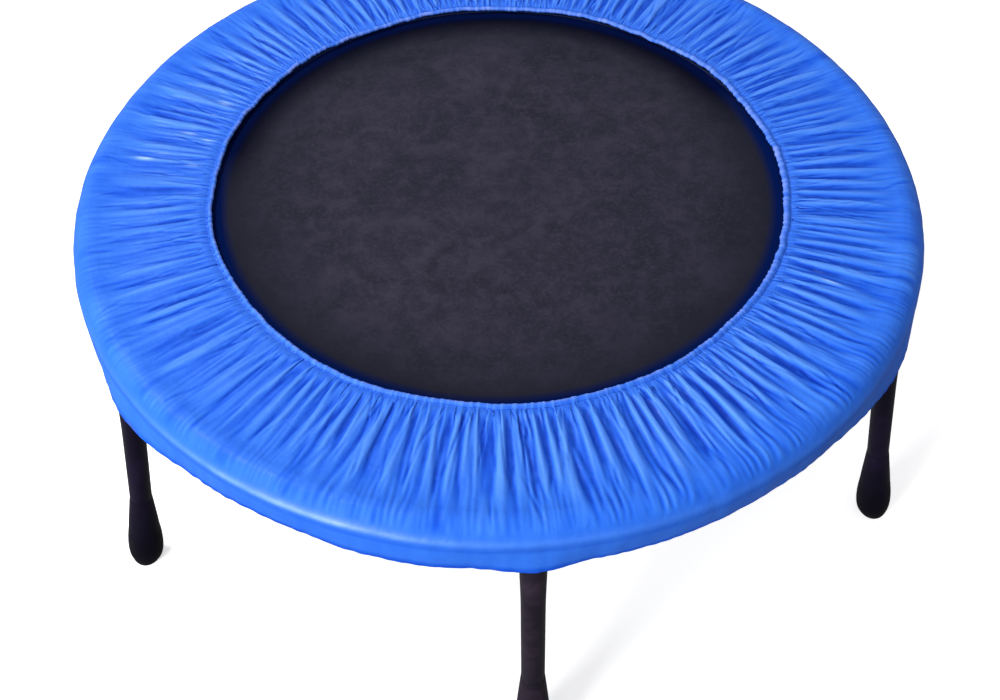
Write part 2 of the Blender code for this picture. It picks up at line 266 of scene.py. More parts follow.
def mat_look():
    look = Look("woven_mat", (0.03, 0.03, 0.04))
    pos = look.coords()
    check = look.calc("ABSOLUTE", look.calc(
        "SUBTRACT", look.wave(pos, scale=250.0, direction="X", distortion=0.4),
        look.wave(pos, scale=250.0, direction="Y", distortion=0.4)))
    mottle = look.noise(pos, scale=16.0, detail=5.0, rough=0.62, distortion=0.8)
    cloud = look.noise(pos, scale=3.2)
    speck = look.noise(pos, scale=260.0, detail=2.0, rough=0.6)
    color = look.ramp(mottle, [
        (0.34, (0.0114, 0.0104, 0.0228)), (0.50, (0.0229, 0.0208, 0.0385)),
        (0.66, (0.0374, 0.0338, 0.0575))])
    color = look.mix(look.remap(cloud, (0.38, 0.62), to=(0.0, 0.5)),
                     color, (0.0158, 0.0156, 0.0330))
    fleck = look.noise(pos, scale=64.0, rough=0.65, distortion=0.4)
    color = look.mix(look.remap(fleck, (0.48, 0.66), to=(0.0, 0.42)),
                     color, (0.0447, 0.0400, 0.0667))
    color = look.mix(look.remap(fleck, (0.50, 0.34), to=(0.0, 0.38)),
                     color, (0.0125, 0.0116, 0.0250))
    color = look.mix(look.remap(speck, (0.50, 0.75), to=(0.0, 0.45)),
                     color, (0.054, 0.049, 0.080))
    color = look.mix(look.times(check, 0.35), color, (0.0080, 0.0074, 0.0135))
    # painted shade: the weave is darker towards the hem
    x, y, z = look.axes(pos)
    radius = look.calc("SQRT", look.plus(look.times(x, x), look.times(y, y)))
    wobble = look.noise(pos, scale=7.0, detail=2.0)
    wobble = look.times(look.calc("SUBTRACT", wobble, 0.5), 0.030)
    hem_shade = look.remap(look.plus(radius, wobble), (0.170, 0.312))
    color = look.mix(look.times(hem_shade, hem_shade, 0.88), color, (0.0070, 0.0076, 0.0185))
    # a painted shadow of the cover on the mat at the back, where the cover stands proud of the
    # mat
    back = look.remap(look.plus(y, look.times(x, -0.12)), (0.025, 0.115))
    rim = look.plus(radius, look.times(wobble, 0.12))
    # the painted shadow and the painted blue reflection lie only on the upper face
    upper = look.remap(z, (MAT_TOP - 0.00075, MAT_TOP - 0.00045))
    cover_shadow = look.times(look.remap(rim, (0.278, 0.318), to=(0.0, 0.92)), back, upper)
    color = look.mix(cover_shadow, color, (0.0008, 0.0010, 0.0075))
    # painted reflection of the cover's blue in the last centimetre before the hem, weaker at
    # the back
    cover_blue_reflection = look.times(look.remap(rim, (0.3108, 0.3214)),
                       look.remap(back, (0.0, 1.0), to=(1.0, 0.50)), upper)
    color = look.mix(cover_blue_reflection, color, (0.0014, 0.0085, 0.0720))
    normal = look.bumps((check, 0.00035, 0.55), (speck, 0.0004, 0.35))
    rough = look.remap(mottle, (0.3, 0.7), to=(0.62, 0.80))
    specular = look.remap(look.calc("MAXIMUM", cover_shadow, cover_blue_reflection), (0.0, 0.9), to=(0.12, 0.0))
    return look.finish(color, rough, normal, specular)


def webbing_look(name, color):
    look = Look(name, color)
    pos = look.coords()
    grain = look.noise(pos, scale=420.0, detail=2.0, rough=0.6)
    ribs = look.wave(pos, scale=190.0, direction="DIAGONAL", distortion=1.0)
    pale = tuple(min(1.0, channel * 1.8 + 0.002) for channel in color)
    blend = look.mix(look.remap(grain, (0.35, 0.7), to=(0.0, 0.6)), color, pale)
    normal = look.bumps((ribs, 0.0003, 0.5), (grain, 0.0004, 0.4))
    rough = look.remap(grain, (0.3, 0.7), to=(0.66, 0.86))
    return look.finish(blend, rough, normal, specular=0.15)


def leg_paint(look, pos, patches):
    """Black with a purple cast and rubbed patches, painted lighter on the leg at the front, as
    painted light.

    Gives the colour, the height, and how far a place takes the painted front light.
    """
    _, y, z = look.axes(pos)
    front_light = look.remap(y, (-0.40, -0.44))
    dark = look.mix(front_light, (0.0032, 0.0014, 0.0105), (0.0110, 0.0078, 0.0165))
    pale = look.mix(front_light, (0.0085, 0.0042, 0.0215), (0.0330, 0.0215, 0.0380))
    return look.mix(patches, dark, pale), z, front_light


def coat_look():
    look = Look("black_powder_coat", (0.02, 0.02, 0.02))
    pos = look.coords()
    peel = look.noise(pos, scale=300.0, detail=2.0)
    scuff = look.noise(pos, scale=22.0, detail=4.0, rough=0.65, distortion=0.5)
    patches = look.remap(scuff, (0.44, 0.66), to=(0.0, 0.75))
    # the leg at the front is painted lighter, as painted light
    color, _, _ = leg_paint(look, pos, patches)
    normal = look.bumps((peel, 0.00028, 0.35))
    rough = look.remap(scuff, (0.35, 0.7), to=(0.32, 0.50))
    return look.finish(color, rough, normal, specular=0.12)


def rubber_look():
    look = Look("moulded_rubber", (0.02, 0.02, 0.02))
    pos = look.coords()
    grain = look.noise(pos, scale=520.0, rough=0.65)
    dust = look.noise(pos, scale=30.0, detail=4.0, rough=0.6, distortion=0.4)
    patches = look.remap(dust, (0.44, 0.66), to=(0.0, 0.70))
    color, height, front_light = leg_paint(look, pos, patches)
    # darker towards the sole
    # less darkening at the front, where the painted front light falls
    low = look.times(look.remap(height, (0.020, 0.110), to=(0.95, 0.0)),
                     look.remap(front_light, (0.0, 1.0), to=(1.0, 0.45)))
    color = look.mix(low, color, (0.0010, 0.0011, 0.0042))
    normal = look.bumps((grain, 0.00025, 0.4), (dust, 0.0006, 0.25))
    rough = look.remap(dust, (0.35, 0.7), to=(0.40, 0.60))
    specular = look.remap(height, (0.020, 0.115), to=(0.05, 0.12))
    return look.finish(color, rough, normal, specular)


def zinc_look(name, color):
    look = Look(name, color)
    pos = look.coords()
    spangle = look.voronoi(pos, scale=420.0)
    stain = look.noise(pos, scale=60.0, detail=4.0, rough=0.6)
    blend = look.mix(look.remap(stain, (0.45, 0.75), to=(0.0, 0.45)),
                     color, (0.36, 0.35, 0.34))
    normal = look.bumps((spangle, 0.0001, 0.25))
    rough = look.remap(stain, (0.3, 0.7), to=(0.22, 0.42))
    return look.finish(blend, rough, normal, metallic=1.0)


def foam_look():
    look = Look("closed_cell_foam", (0.5, 0.5, 0.5))
    pos = look.coords()
    cells = look.voronoi(pos, scale=900.0)
    soft = look.noise(pos, scale=60.0, rough=0.6)
    color = look.mix(look.remap(soft, (0.35, 0.7), to=(0.0, 0.6)),
                     (0.36, 0.36, 0.37), (0.22, 0.22, 0.235))
    normal = look.bumps((cells, 0.0004, 0.6), (soft, 0.0012, 0.3))
    return look.finish(color, rough=0.9, normal=normal)


def elastic_look():
    look = Look("braided_elastic", (0.05, 0.1, 0.4))
    pos = look.coords()
    braid = look.calc("MAXIMUM", look.wave(pos, scale=260.0, direction="DIAGONAL"),
                      look.wave(pos, scale=260.0, direction="X"))
    color = look.mix(look.remap(braid, (0.2, 0.9)), (0.020, 0.035, 0.16), (0.070, 0.12, 0.42))
    return look.finish(color, rough=0.78, normal=look.bumps((braid, 0.0006, 0.6)))


COVER = cover_look()
WEAVE = mat_look()
WEBBING = webbing_look("webbing", (0.0036, 0.0080, 0.0400))
THREAD_DARK = webbing_look("thread_dark", (0.011, 0.011, 0.014))
THREAD_BLUE = webbing_look("thread_blue", (0.010, 0.055, 0.42))
COAT = coat_look()
RUBBER = rubber_look()
ZINC = zinc_look("zinc_plate", (0.60, 0.61, 0.64))
SPRING_WIRE = zinc_look("spring_wire", (0.66, 0.67, 0.70))
FOAM = foam_look()
ELASTIC = elastic_look()

# ------------------------------------------------------------ shapes
# A shape is a pair: an array of points and a list of faces.


def orient(obj):
    """Point every face of a closed mesh outward."""
    mesh = bmesh.new()
    mesh.from_mesh(obj.data)
    bmesh.ops.recalc_face_normals(mesh, faces=mesh.faces)
    mesh.to_mesh(obj.data)
    mesh.free()


def make(name, shape, material, sharp=None, smooth=True, matrix=None, outward=True):
    """An object of a shape; sharp is the angle in degrees past which edges stay hard."""
    points, faces = shape
    mesh = bpy.data.meshes.new(name)
    mesh.from_pydata([tuple(map(float, point)) for point in points], [],
                     [tuple(map(int, face)) for face in faces])
    mesh.update()
    obj = bpy.data.objects.new(name, mesh)
    bpy.context.scene.collection.objects.link(obj)
    mesh.materials.append(material)
    if smooth:
        mesh.shade_smooth()
    if sharp:
        mesh.set_sharp_from_angle(angle=math.radians(sharp))
    if matrix is not None:
        mesh.transform(matrix)
    if outward:
        orient(obj)
    return obj


def fit(obj, part, solid=None):
    """Hang an object on a moving part, in place of a CAD solid if one is named."""
    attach(obj, part)
    if solid:
        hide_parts(solid)


def moved(shape, matrix):
    points, faces = shape
    matrix = np.array(matrix)
    return points @ matrix[:3, :3].T + matrix[:3, 3], faces


def merge(shapes):
    points, faces, start = [], [], 0
    for some_points, some_faces in shapes:
        points.append(some_points)
        faces += [[i + start for i in face] for face in some_faces]
        start += len(some_points)
    return np.vstack(points), faces


def polar(radius, angle, z):
    """Points at angles round the rim."""
    x, y = radius * np.sin(angle), -radius * np.cos(angle)
    return np.stack(np.broadcast_arrays(x, y, z), -1)


def arc(radius, height, size, degrees):
    """(radius, height) points on a circle round a centre; 0 degrees is outward."""
    turns = [math.radians(degree) for degree in degrees]
    return [(radius + size * math.cos(a), height + size * math.sin(a)) for a in turns]


def grid_faces(rows, cols, wrap_rows=False, flip=False):
    """Faces of a grid of points whose columns run round and close."""
    r = np.arange(rows if wrap_rows else rows - 1)[:, None]
    c = np.arange(cols)[None, :]
    here, below = r * cols, (r + 1) % rows * cols
    right = (c + 1) % cols
    corners = [here + c, here + right, below + right, below + c]
    if flip:
        corners = corners[:1] + corners[:0:-1]
    return np.stack(corners, -1).reshape(-1, 4).tolist()


def spin(profile, steps, closed=False):
    """A profile of (radius, height) points turned about Z; one on the axis is one vertex."""
    points, rings, faces = [], [], []
    for radius, height in profile:
        count = 1 if radius < 1e-7 else steps
        rings.append([len(points) + k % count for k in range(steps)])
        for k in range(count):
            a = TAU * k / steps
            points.append((radius * math.cos(a), radius * math.sin(a), height))
    pairs = list(zip(rings, rings[1:]))
    if closed:
        pairs.append((rings[-1], rings[0]))
    for first, second in pairs:
        for k in range(steps):
            after = (k + 1) % steps
            face = list(dict.fromkeys([first[k], first[after], second[after], second[k]]))
            if len(face) > 2:
                faces.append(face[::-1])
    return np.array(points, float), faces


def frames_along(path):
    """Two unit normals at each point of a polyline, carried along without twist."""
    along = np.gradient(path, axis=0)
    along /= np.linalg.norm(along, axis=1, keepdims=True)
    normal = np.zeros_like(path)
    aside = np.array([0.0, 0.0, 1.0] if abs(along[0, 2]) < 0.9 else [1.0, 0.0, 0.0])
    first = np.cross(along[0], aside)
    normal[0] = first / np.linalg.norm(first)
    for i in range(1, len(path)):
        carried = normal[i - 1] - along[i] * np.dot(normal[i - 1], along[i])
        normal[i] = carried / np.linalg.norm(carried)
    return normal, np.cross(along, normal)


def sweep(path, radius, sides, closed=False):
    """A round wire along a polyline; radius is one number or one per point."""
    path = np.asarray(path, float)
    count = len(path)
    normal, binormal = frames_along(path)
    radius = np.broadcast_to(np.asarray(radius, float), (count,))
    a = np.arange(sides) * TAU / sides
    ring = (np.cos(a)[None, :, None] * normal[:, None, :]
            + np.sin(a)[None, :, None] * binormal[:, None, :])
    points = (path[:, None, :] + ring * radius[:, None, None]).reshape(-1, 3)
    faces = grid_faces(count, sides, wrap_rows=closed)
    if not closed:
        faces.append(list(range(sides))[::-1])
        faces.append([(count - 1) * sides + k for k in range(sides)])
    return points, faces


def smooth_curve(points, per_span):
    """A Catmull-Rom curve through points."""
    p = np.asarray(points, float)
    p = np.vstack([2 * p[0] - p[1], p, 2 * p[-1] - p[-2]])
    curve = []
    for i in range(1, len(p) - 2):
        for k in range(per_span):
            t = k / per_span
            curve.append(0.5 * ((2 * p[i]) + (-p[i - 1] + p[i + 1]) * t
                                + (2 * p[i - 1] - 5 * p[i] + 4 * p[i + 1] - p[i + 2]) * t * t
                                + (-p[i - 1] + 3 * p[i] - 3 * p[i + 1] + p[i + 2]) * t ** 3))
    curve.append(p[-2])
    return np.array(curve)


def smoothstep(x, low, high):
    t = np.clip((np.asarray(x, float) - low) / (high - low), 0, 1)
    return t * t * (3 - 2 * t)


def hump(x, middle, width):
    """A bell curve of height 1."""
    return np.exp(-((x - middle) / width) ** 2)


# ------------------------------------------------------------ cover: sizes
COLUMNS = 1800            # around
ROWS = 50                 # between the hem's stitching and the rolled rim
INNER_R = 0.3325
OUTER_R = 0.4590
ROLL = 0.024              # radius of the rolled rim, whose centre is at ROLL_R, ROLL_Z
ROLL_R, ROLL_Z = COVER_R - ROLL, TOP - ROLL
ROLL_STEPS = 20
SKIRT_STEPS = 9
COARSE = 4                # columns of the outer face to each column of the lining
ANGLES = (np.arange(COLUMNS) + 0.5) * TAU / COLUMNS
ROLL_TURN = (math.pi / 2 * np.arange(1, ROLL_STEPS + 1) / ROLL_STEPS)[:, None]
ROLL_DEGREES = np.degrees(ROLL_TURN)

# place along the cloth, 0 at the stitching and 1 where the roll begins, and its radius
TOP_PLACE = np.linspace(0, 1, ROWS)
TOP_R = INNER_R + (OUTER_R - INNER_R) * TOP_PLACE
PLACE = np.concatenate([
    TOP_PLACE, 1 + (ROLL_R - OUTER_R + ROLL * ROLL_TURN[:, 0]) / (OUTER_R - INNER_R)])
PLACE_R = np.concatenate([TOP_R, ROLL_R + ROLL * np.sin(ROLL_TURN[:, 0])])

# rows round the hem bead: degrees about its centre, and wear with a painted highlight
HEM_TURN = np.radians([-62, -100, -135, -165, 165, 135, 108, 80, 50])[:, None]
HEM_WEAR_AND_HIGHLIGHT = np.array([0.0, 0.0, 0.1, 0.4, 0.9, 1.0, 0.8, 0.35, 0.0])[:, None]
SKIRT_HEM = np.radians([-30, -90, -150])[:, None]

# where each stretch of the cover lies among its rows; the stitching is row HEM
HEM = len(HEM_TURN)
TOP_ROWS = slice(HEM, HEM + ROWS)
RIM_ROWS = slice(HEM + ROWS, HEM + ROWS + ROLL_STEPS)
SKIRT_ROWS = slice(HEM + ROWS + ROLL_STEPS, None)

# unpleated cover between the stitching and the rim: radius, and depth below the top
FLAT_R = [0.326, 0.3325, 0.342, 0.372, 0.425, 0.459]
FLAT_DROP = np.array([0.0082, 0.0076, 0.0044, 0.0028, 0.0010, 0.0002])

# lining under the top: radius, and depth below the unpleated cover
LINING_R = [0.3342, 0.3374, 0.3420, 0.3480, 0.3560, 0.3660,
            0.3780, 0.3920, 0.4080, 0.4240, 0.4390, 0.4500]
LINING_DROP = [0.0027, 0.0034] + [0.0053] * 10

# painted glints on the folds: degrees round the rim, radius, half length, half width, strength
PAINTED_GLINTS = [
    (-98.1, 0.414, 0.0095, 0.0024, 1.00), (-99.6, 0.398, 0.0080, 0.0014, 0.35),
    (-97.3, 0.357, 0.0070, 0.0022, 0.85), (-105.5, 0.378, 0.0085, 0.0022, 0.75),
    (-104.6, 0.353, 0.0060, 0.0018, 0.50), (-115.4, 0.361, 0.0075, 0.0024, 0.80),
    (-111.8, 0.364, 0.0060, 0.0015, 0.35), (60.6, 0.394, 0.0080, 0.0018, 0.70),
    (62.2, 0.378, 0.0060, 0.0014, 0.40)]

# where the skirt swells or draws in: degrees round the rim, amount, half width
SWELLS = [
    (0.0, 0.0070, 0.034), (-14.5, 0.0034, 0.085), (-39.0, 0.0018, 0.055),
    (-54.5, 0.0122, 0.076), (-71.0, 0.0022, 0.050), (53.5, 0.0086, 0.064),
    (60.0, 0.0038, 0.042), (24.0, -0.0015, 0.110), (120.0, 0.0080, 0.060),
    (180.0, 0.0080, 0.060), (240.0, 0.0080, 0.060)]


def flat_height(radius):
    return np.interp(radius, FLAT_R, TOP - FLAT_DROP)


def apart(angles, degrees):
    """Signed angle from a place round the rim, the short way."""
    return (angles - math.radians(degrees) + math.pi) % TAU - math.pi


def swell(angles):
    """How far the skirt stands out."""
    return sum(amount * hump(apart(angles, place) * COVER_R, 0, half)
               for place, amount, half in SWELLS)


def ripple(waves, seed, power=0.5):
    """A smooth random value per column, from whole waves round the circle."""
    rng = np.random.default_rng(seed)
    total = np.zeros(COLUMNS)
    for _ in range(40):
        count = int(rng.integers(*waves))
        total += np.cos(count * ANGLES + rng.uniform(0, TAU)) * rng.normal() / count ** power
    return total / (np.abs(total).max() + 1e-9)


def by_angle(values):
    """A smooth value per column, from values at equal steps round the rim."""
    ends = np.append(values, values[0])
    x = (np.arange(COLUMNS) + 0.5) / COLUMNS * len(values)
    i = x.astype(int)
    t = x - i
    t = t * t * (3 - 2 * t)
    return ends[i] * (1 - t) + ends[i + 1] * t


# values every 30 degrees: how deep the folds stand
DEPTH = by_angle([0.80, 0.78, 0.72, 0.66, 0.66, 0.68, 0.66, 0.62, 0.55, 0.40, 0.42, 0.58])
# how far the fine streaks show
GRAIN = by_angle([1.00, 0.95, 0.75, 0.60, 0.55, 0.50, 0.50, 0.50, 0.45, 0.40, 0.50, 0.80])
# the pressed edge that runs along the front of the rim; it also sets the painted highlight
# along it and the painted shade at the skirt's turned edge
EDGE = by_angle([0.80, 0.45, 0.25, 0.15, 0.10, 0.10, 0.10, 0.10, 0.08, 0.05, 0.35, 1.00])
# half width of the hem bead
BEAD_HALF = 0.0025
HALF = BEAD_HALF * by_angle(
    [1.15, 1.25, 1.45, 1.60, 1.60, 1.40, 1.15, 1.00, 1.00, 1.00, 1.00, 1.05])

# the hem bead wanders in radius and height
BEAD_R = 0.3299
BEAD_Z = MAT_TOP + 0.0062
LUMP = ripple(waves=(5, 17), seed=5)
MID = ripple(waves=(30, 90), seed=6, power=0.3)
BEAD_SHIFT = 0.0019 * LUMP + 0.0009 * MID
BEAD_LIFT = 0.0007 * LUMP + 0.0006 * MID
# waviness of the rim and the skirt
FLUTTER = ripple(waves=(20, 140), seed=12)
RIM_WAVE = 0.0005 * ripple(waves=(6, 60), seed=11) + 0.0003 * FLUTTER
GATHERS = ripple(waves=(90, 240), seed=21, power=0.2)
BELL = ripple(waves=(10, 60), seed=22, power=0.4)

# ------------------------------------------------------------ cover: cloth


def gather(iterations):
    """Cloth solver for the gathered top of the cover.

    The cloth is a strip as long as the rim.  Its inner edge is drawn in by the
    elastic, its outer rows are held on the rim, and it is relaxed by position
    constraints: stretch along and across, shear, bending, weight and contact
    with what lies under it.
    """
    cloth_r = 0.468             # the strip is as long as a circle of this radius
    spare_length = 1.012        # cloth from hem to rim, over the straight distance
    shear = 0.10
    bending = 0.11
    weight = 0.000006           # drop in each iteration
    rng = np.random.default_rng(7)
    length = TAU * cloth_r
    ratio = length / (TAU * TOP_R)
    ratio = 1 + (np.maximum(ratio, 1) - 1) * (0.55 + 0.45 * smoothstep(TOP_PLACE, 0.0, 0.10))
    ratio = 1 + (ratio - 1) * (1 - smoothstep(TOP_PLACE, 0.82, 1.0) * 0.7)
    step = (TAU * TOP_R / COLUMNS * ratio).astype(np.float32)
    angle, place = np.meshgrid(ANGLES, TOP_PLACE)

    def folds(count, spread, drift):
        """Waves of uneven width and height."""
        widths = rng.lognormal(0, 0.38, count)
        edges = np.concatenate([[0], np.cumsum(widths)])
        edges = edges / edges[-1] * TAU
        start = rng.uniform(0, TAU)
        phase = np.interp((angle + drift - start) % TAU, edges, np.arange(count + 1)) * TAU
        heights = np.append(rng.uniform(-1, 1, count // 2), 0)
        height = 1 + spread * np.interp(
            (angle - start) % TAU, np.linspace(0, TAU, count // 2 + 1), heights)
        return height * np.cos(phase)

    def wander(scale, most_waves):
        total = np.zeros_like(angle)
        for _ in range(10):
            waves = rng.integers(3, most_waves)
            total += (np.cos(waves * angle + rng.uniform(0, 6.3) + place * rng.uniform(-2, 2))
                      * rng.normal() / np.sqrt(waves))
        return total * scale

    # folds join into fewer and wider ones from the hem out to the rim
    fine = folds(220, spread=0.5, drift=wander(0.006, most_waves=60) * place)
    medium = folds(142, spread=0.6, drift=wander(0.010, most_waves=50) * place)
    wide = folds(92, spread=0.7, drift=wander(0.018, most_waves=40) * place)
    fine_share = 1 - smoothstep(place, 0.05, 0.55)
    medium_share = smoothstep(place, 0.0, 0.25) * (1 - smoothstep(place, 0.60, 1.0))
    wide_share = smoothstep(place, 0.15, 0.55) * (1 - smoothstep(place, 0.88, 1.0))
    need = np.sqrt(np.maximum(ratio - 1, 0))[:, None]
    flat = flat_height(TOP_R)[:, None]
    z = flat + need * (0.0034 * fine * fine_share + 0.0056 * medium * medium_share
                       + 0.0068 * wide * wide_share)
    z += rng.normal(0, 0.00006, z.shape)
    cloth = polar(TOP_R[:, None], angle, z).astype(np.float32)

    rise = np.diff(flat_height(TOP_R))
    row_gap = np.sqrt(np.diff(TOP_R) ** 2 + rise ** 2) * spare_length
    row_gap = row_gap.astype(np.float32)[:, None]
    free = np.ones((ROWS, COLUMNS), np.float32)
    free[-2:] = 0
    lowest = (flat - 0.0048).astype(np.float32)
    lowest[:4] = flat[:4] - 0.0020
    highest = (flat + 0.0065).astype(np.float32)
    steps = np.broadcast_to(step[:, None], (ROWS, COLUMNS))
    diagonal = np.sqrt(row_gap ** 2 + ((step[1:] + step[:-1]) / 2)[:, None] ** 2)
    diagonal = diagonal.astype(np.float32)

    def pull(a, b, rest, stiffness, free_a, free_b):
        """Moves that bring points a and b towards their rest distance."""
        gap = b - a
        size = np.sqrt(np.einsum("ijk,ijk->ij", gap, gap)) + 1e-9
        move = (stiffness * (size - rest) / size / (free_a + free_b + 1e-9))[..., None] * gap
        return move * free_a[..., None], move * free_b[..., None]

    for i in range(iterations):
        # along the strip, even columns and then odd ones
        for odd in (0, 1):
            after = (np.arange(odd, COLUMNS, 2) + 1) % COLUMNS
            move_a, move_b = pull(cloth[:, odd::2], cloth[:, after], steps[:, odd::2],
                                  1.0, free[:, odd::2], free[:, odd::2])
            cloth[:, odd::2] += move_a
            cloth[:, after] -= move_b
        # across it, from row to row
        for odd in (0, 1):
            a, b = cloth[odd:ROWS - 1:2], cloth[odd + 1::2]
            n = min(len(a), len(b))
            move_a, move_b = pull(a[:n], b[:n], row_gap[odd:ROWS - 1:2][:n], 0.9,
                                  free[odd:ROWS - 1:2][:n], free[odd + 1::2][:n])
            a[:n] += move_a
            b[:n] -= move_b
        if i % 2 == 0:
            for sign in (1, -1):
                move_a, move_b = pull(cloth[:-1], np.roll(cloth, -sign, 1)[1:], diagonal,
                                      shear, free[:-1], free[1:])
                cloth[:-1] += move_a
                cloth[1:] -= np.roll(move_b, sign, 1)
        beside = (np.roll(cloth, 1, 1) + np.roll(cloth, -1, 1)) / 2
        cloth += bending * (beside - cloth) * free[..., None]
        between = (cloth[:-2] + cloth[2:]) / 2
        cloth[1:-1] += bending * (between - cloth[1:-1]) * free[1:-1, :, None]
        cloth[..., 2] -= weight * free
        cloth[..., 2] = np.where(free > 0, np.clip(cloth[..., 2], lowest, highest),
                                 cloth[..., 2])
        # the elastic holds the two inner rows to their circles
        for j, hold in ((0, 1.0), (1, 0.5)):
            radius = np.sqrt((cloth[j, :, :2] ** 2).sum(-1))
            cloth[j, :, :2] *= (1 + hold * (TOP_R[j] / radius - 1))[:, None]
        cloth[0, :, 2] += 0.25 * (flat[0] - cloth[0, :, 2])
    return cloth.astype(float)


def streaks(waves, reach, seed, drift):
    """Long narrow streaks that run outward, from so many to so many round the circle."""
    low, high = waves
    rows = len(PLACE)
    rng = np.random.default_rng(seed)
    spectrum = np.fft.rfft(rng.normal(size=(rows, COLUMNS)), axis=1)
    k = np.arange(spectrum.shape[1])
    band = np.exp(-((k - (low + high) / 2) / ((high - low) / 2)) ** 4)
    field = np.fft.irfft(spectrum * band, COLUMNS, axis=1)
    x = np.arange(rows)
    field = np.exp(-((x[:, None] - x[None, :]) / reach) ** 2) @ field
    lean = sum(np.cos(m * ANGLES + rng.uniform(0, TAU)) * rng.normal()
               for m in (7, 11, 17, 23, 31, 43)) / 3
    for j in range(rows):
        at = (np.arange(COLUMNS) + lean * drift * COLUMNS / TAU * j / rows) % COLUMNS
        i = at.astype(int)
        t = at - i
        field[j] = field[j][i % COLUMNS] * (1 - t) + field[j][(i + 1) % COLUMNS] * t
    return field / field.std()


def creases():
    """Height of the fine creases of the cloth, one row per place along it.

    Each crease is a narrow valley between two soft lips that runs outward from
    the hem, or starts part way.  Some run together in pairs.
    """
    rng = np.random.default_rng(19)
    heights = np.zeros((len(PLACE), COLUMNS))
    step = TAU / COLUMNS

    def stroke(first, last, path, depth, width, start, end):
        """One crease; it deepens up to start and fades from end, as shares of its length."""
        for j in np.where((PLACE >= first) & (PLACE <= last))[0]:
            share = (PLACE[j] - first) / (last - first)
            strength = smoothstep(share, 0, start) if start else 1.0
            strength = strength * (1 - smoothstep(share, end, 1.0))
            angle = path(PLACE[j])
            spread = width * (0.8 + 0.5 * PLACE[j])
            reach = int(5 * spread / (PLACE_R[j] * step)) + 2
            middle = int(round(angle / step - 0.5))
            i = np.arange(middle - reach, middle + reach + 1)
            d = ((i + 0.5) * step - angle) * PLACE_R[j] / spread
            section = -hump(d, 0, 1) + 0.42 * (hump(d, 1.9, 1.15) + hump(d, -1.9, 1.15))
            heights[j, i % COLUMNS] += depth * strength * section

    def turn(millimetres, radius):
        return millimetres * 0.001 / radius

    def places(count):
        for k in range(count):
            yield (k + rng.uniform(0, 1)) * TAU / count

    def winding(angle, first, radius, lean, bend):
        """A random path outward; lean and bend are in millimetres at a radius."""
        slope = turn(rng.normal(0, lean), radius)
        sway = turn(rng.uniform(0, bend), radius)
        phase = rng.uniform(0, 6.3)
        return lambda place: (angle + slope * (place - first)
                              + sway * math.sin(7.0 * (place - first) + phase))

    # from the hem
    for angle in places(170):
        last = float(np.clip(rng.lognormal(-1.05, 0.55), 0.12, 1.05))
        stroke(0.0, last, winding(angle, 0, radius=0.38, lean=16, bend=1.3),
               depth=rng.uniform(0.0007, 0.0018), width=rng.uniform(0.0009, 0.0014),
               start=0, end=0.45)
    # pairs that run together
    for angle in places(64):
        join, last = rng.uniform(0.22, 0.60), rng.uniform(0.65, 1.08)
        gap, lean = turn(rng.uniform(5, 11), 0.36), turn(rng.normal(0, 14), 0.40)
        depth, width = rng.uniform(0.0007, 0.0016), rng.uniform(0.0010, 0.0014)
        for side in (-1, 1):
            stroke(0.0, join * 1.05,
                   lambda q: angle + side * gap * (1 - min(q / join, 1.0)) + lean * q,
                   depth=depth * rng.uniform(0.6, 1.0), width=width, start=0, end=0.80)
        stroke(join * 0.8, last, lambda q: angle + lean * q,
               depth=depth, width=width * 1.15, start=0.15, end=0.40)
    # starting part way, and running out over the rim
    for angle in places(300):
        first = rng.uniform(0.20, 0.82)
        last = first + rng.uniform(0.20, 0.55)
        stroke(first, min(last, 1.22), winding(angle, first, radius=0.43, lean=20, bend=1.0),
               depth=rng.uniform(0.0004, 0.0013), width=rng.uniform(0.0011, 0.0018),
               start=0.30, end=0.50)
    # long shallow hollows
    for angle in places(70):
        first = rng.uniform(0.0, 0.35)
        last = min(first + rng.uniform(0.45, 0.95), 1.15)
        stroke(first, last, winding(angle, first, radius=0.40, lean=15, bend=2.0),
               depth=rng.uniform(0.0005, 0.0013), width=rng.uniform(0.0028, 0.0048),
               start=0.25, end=0.55)
    fade = 1 - smoothstep(PLACE, 1.12, 1.24)
    return heights * (fade * smoothstep(PLACE, 0.0, 0.03))[:, None]


# ------------------------------------------------------------ cover: rows of points


def hem_rows(scallop):
    """The hem bead, and the stitching drawn down behind it."""
    middle = BEAD_R + (HALF - BEAD_HALF) + BEAD_SHIFT
    radius = middle + HALF * np.cos(HEM_TURN) * (1 + 0.20 * scallop)
    z = BEAD_Z + BEAD_LIFT + BEAD_HALF * np.sin(HEM_TURN) * (1 + 0.18 * scallop)
    stitch_r = middle + HALF + 0.0002 + 0.0003 * ripple(waves=(150, 300), seed=3)
    stitch_z = TOP - 0.0082 + 0.0008 * scallop
    return np.concatenate([polar(radius, ANGLES, z), polar(stitch_r, ANGLES, stitch_z)[None]])


def top_rows(cloth, fine):
    """The gathered top, which follows the hem's wander near the stitching."""
    rows = cloth[1:].copy()
    flat = flat_height(TOP_R)[1:, None]
    rows[..., 2] = flat + (rows[..., 2] - flat) * DEPTH + fine[1:ROWS]
    shift = BEAD_SHIFT + 2.0 * (HALF - BEAD_HALF)
    fade = np.exp(-np.arange(1, ROWS) / 5.0)[:, None]
    return rows + polar(shift * fade, ANGLES, 0.0)


def rim_rows(fine):
    """The rolled rim, with its pressed edge."""
    ridge = 0.0011 * hump(ROLL_DEGREES, 69, 9.5) - 0.0004 * hump(ROLL_DEGREES, 38, 18.0)
    radius = (ROLL + ridge * (0.25 + 0.75 * EDGE) + RIM_WAVE * np.sin(ROLL_TURN)
              + fine[ROWS:] - 0.0003 * ROLL_DEGREES / 90)
    return polar(ROLL_R + radius * np.sin(ROLL_TURN), ANGLES,
                 ROLL_Z + radius * np.cos(ROLL_TURN))


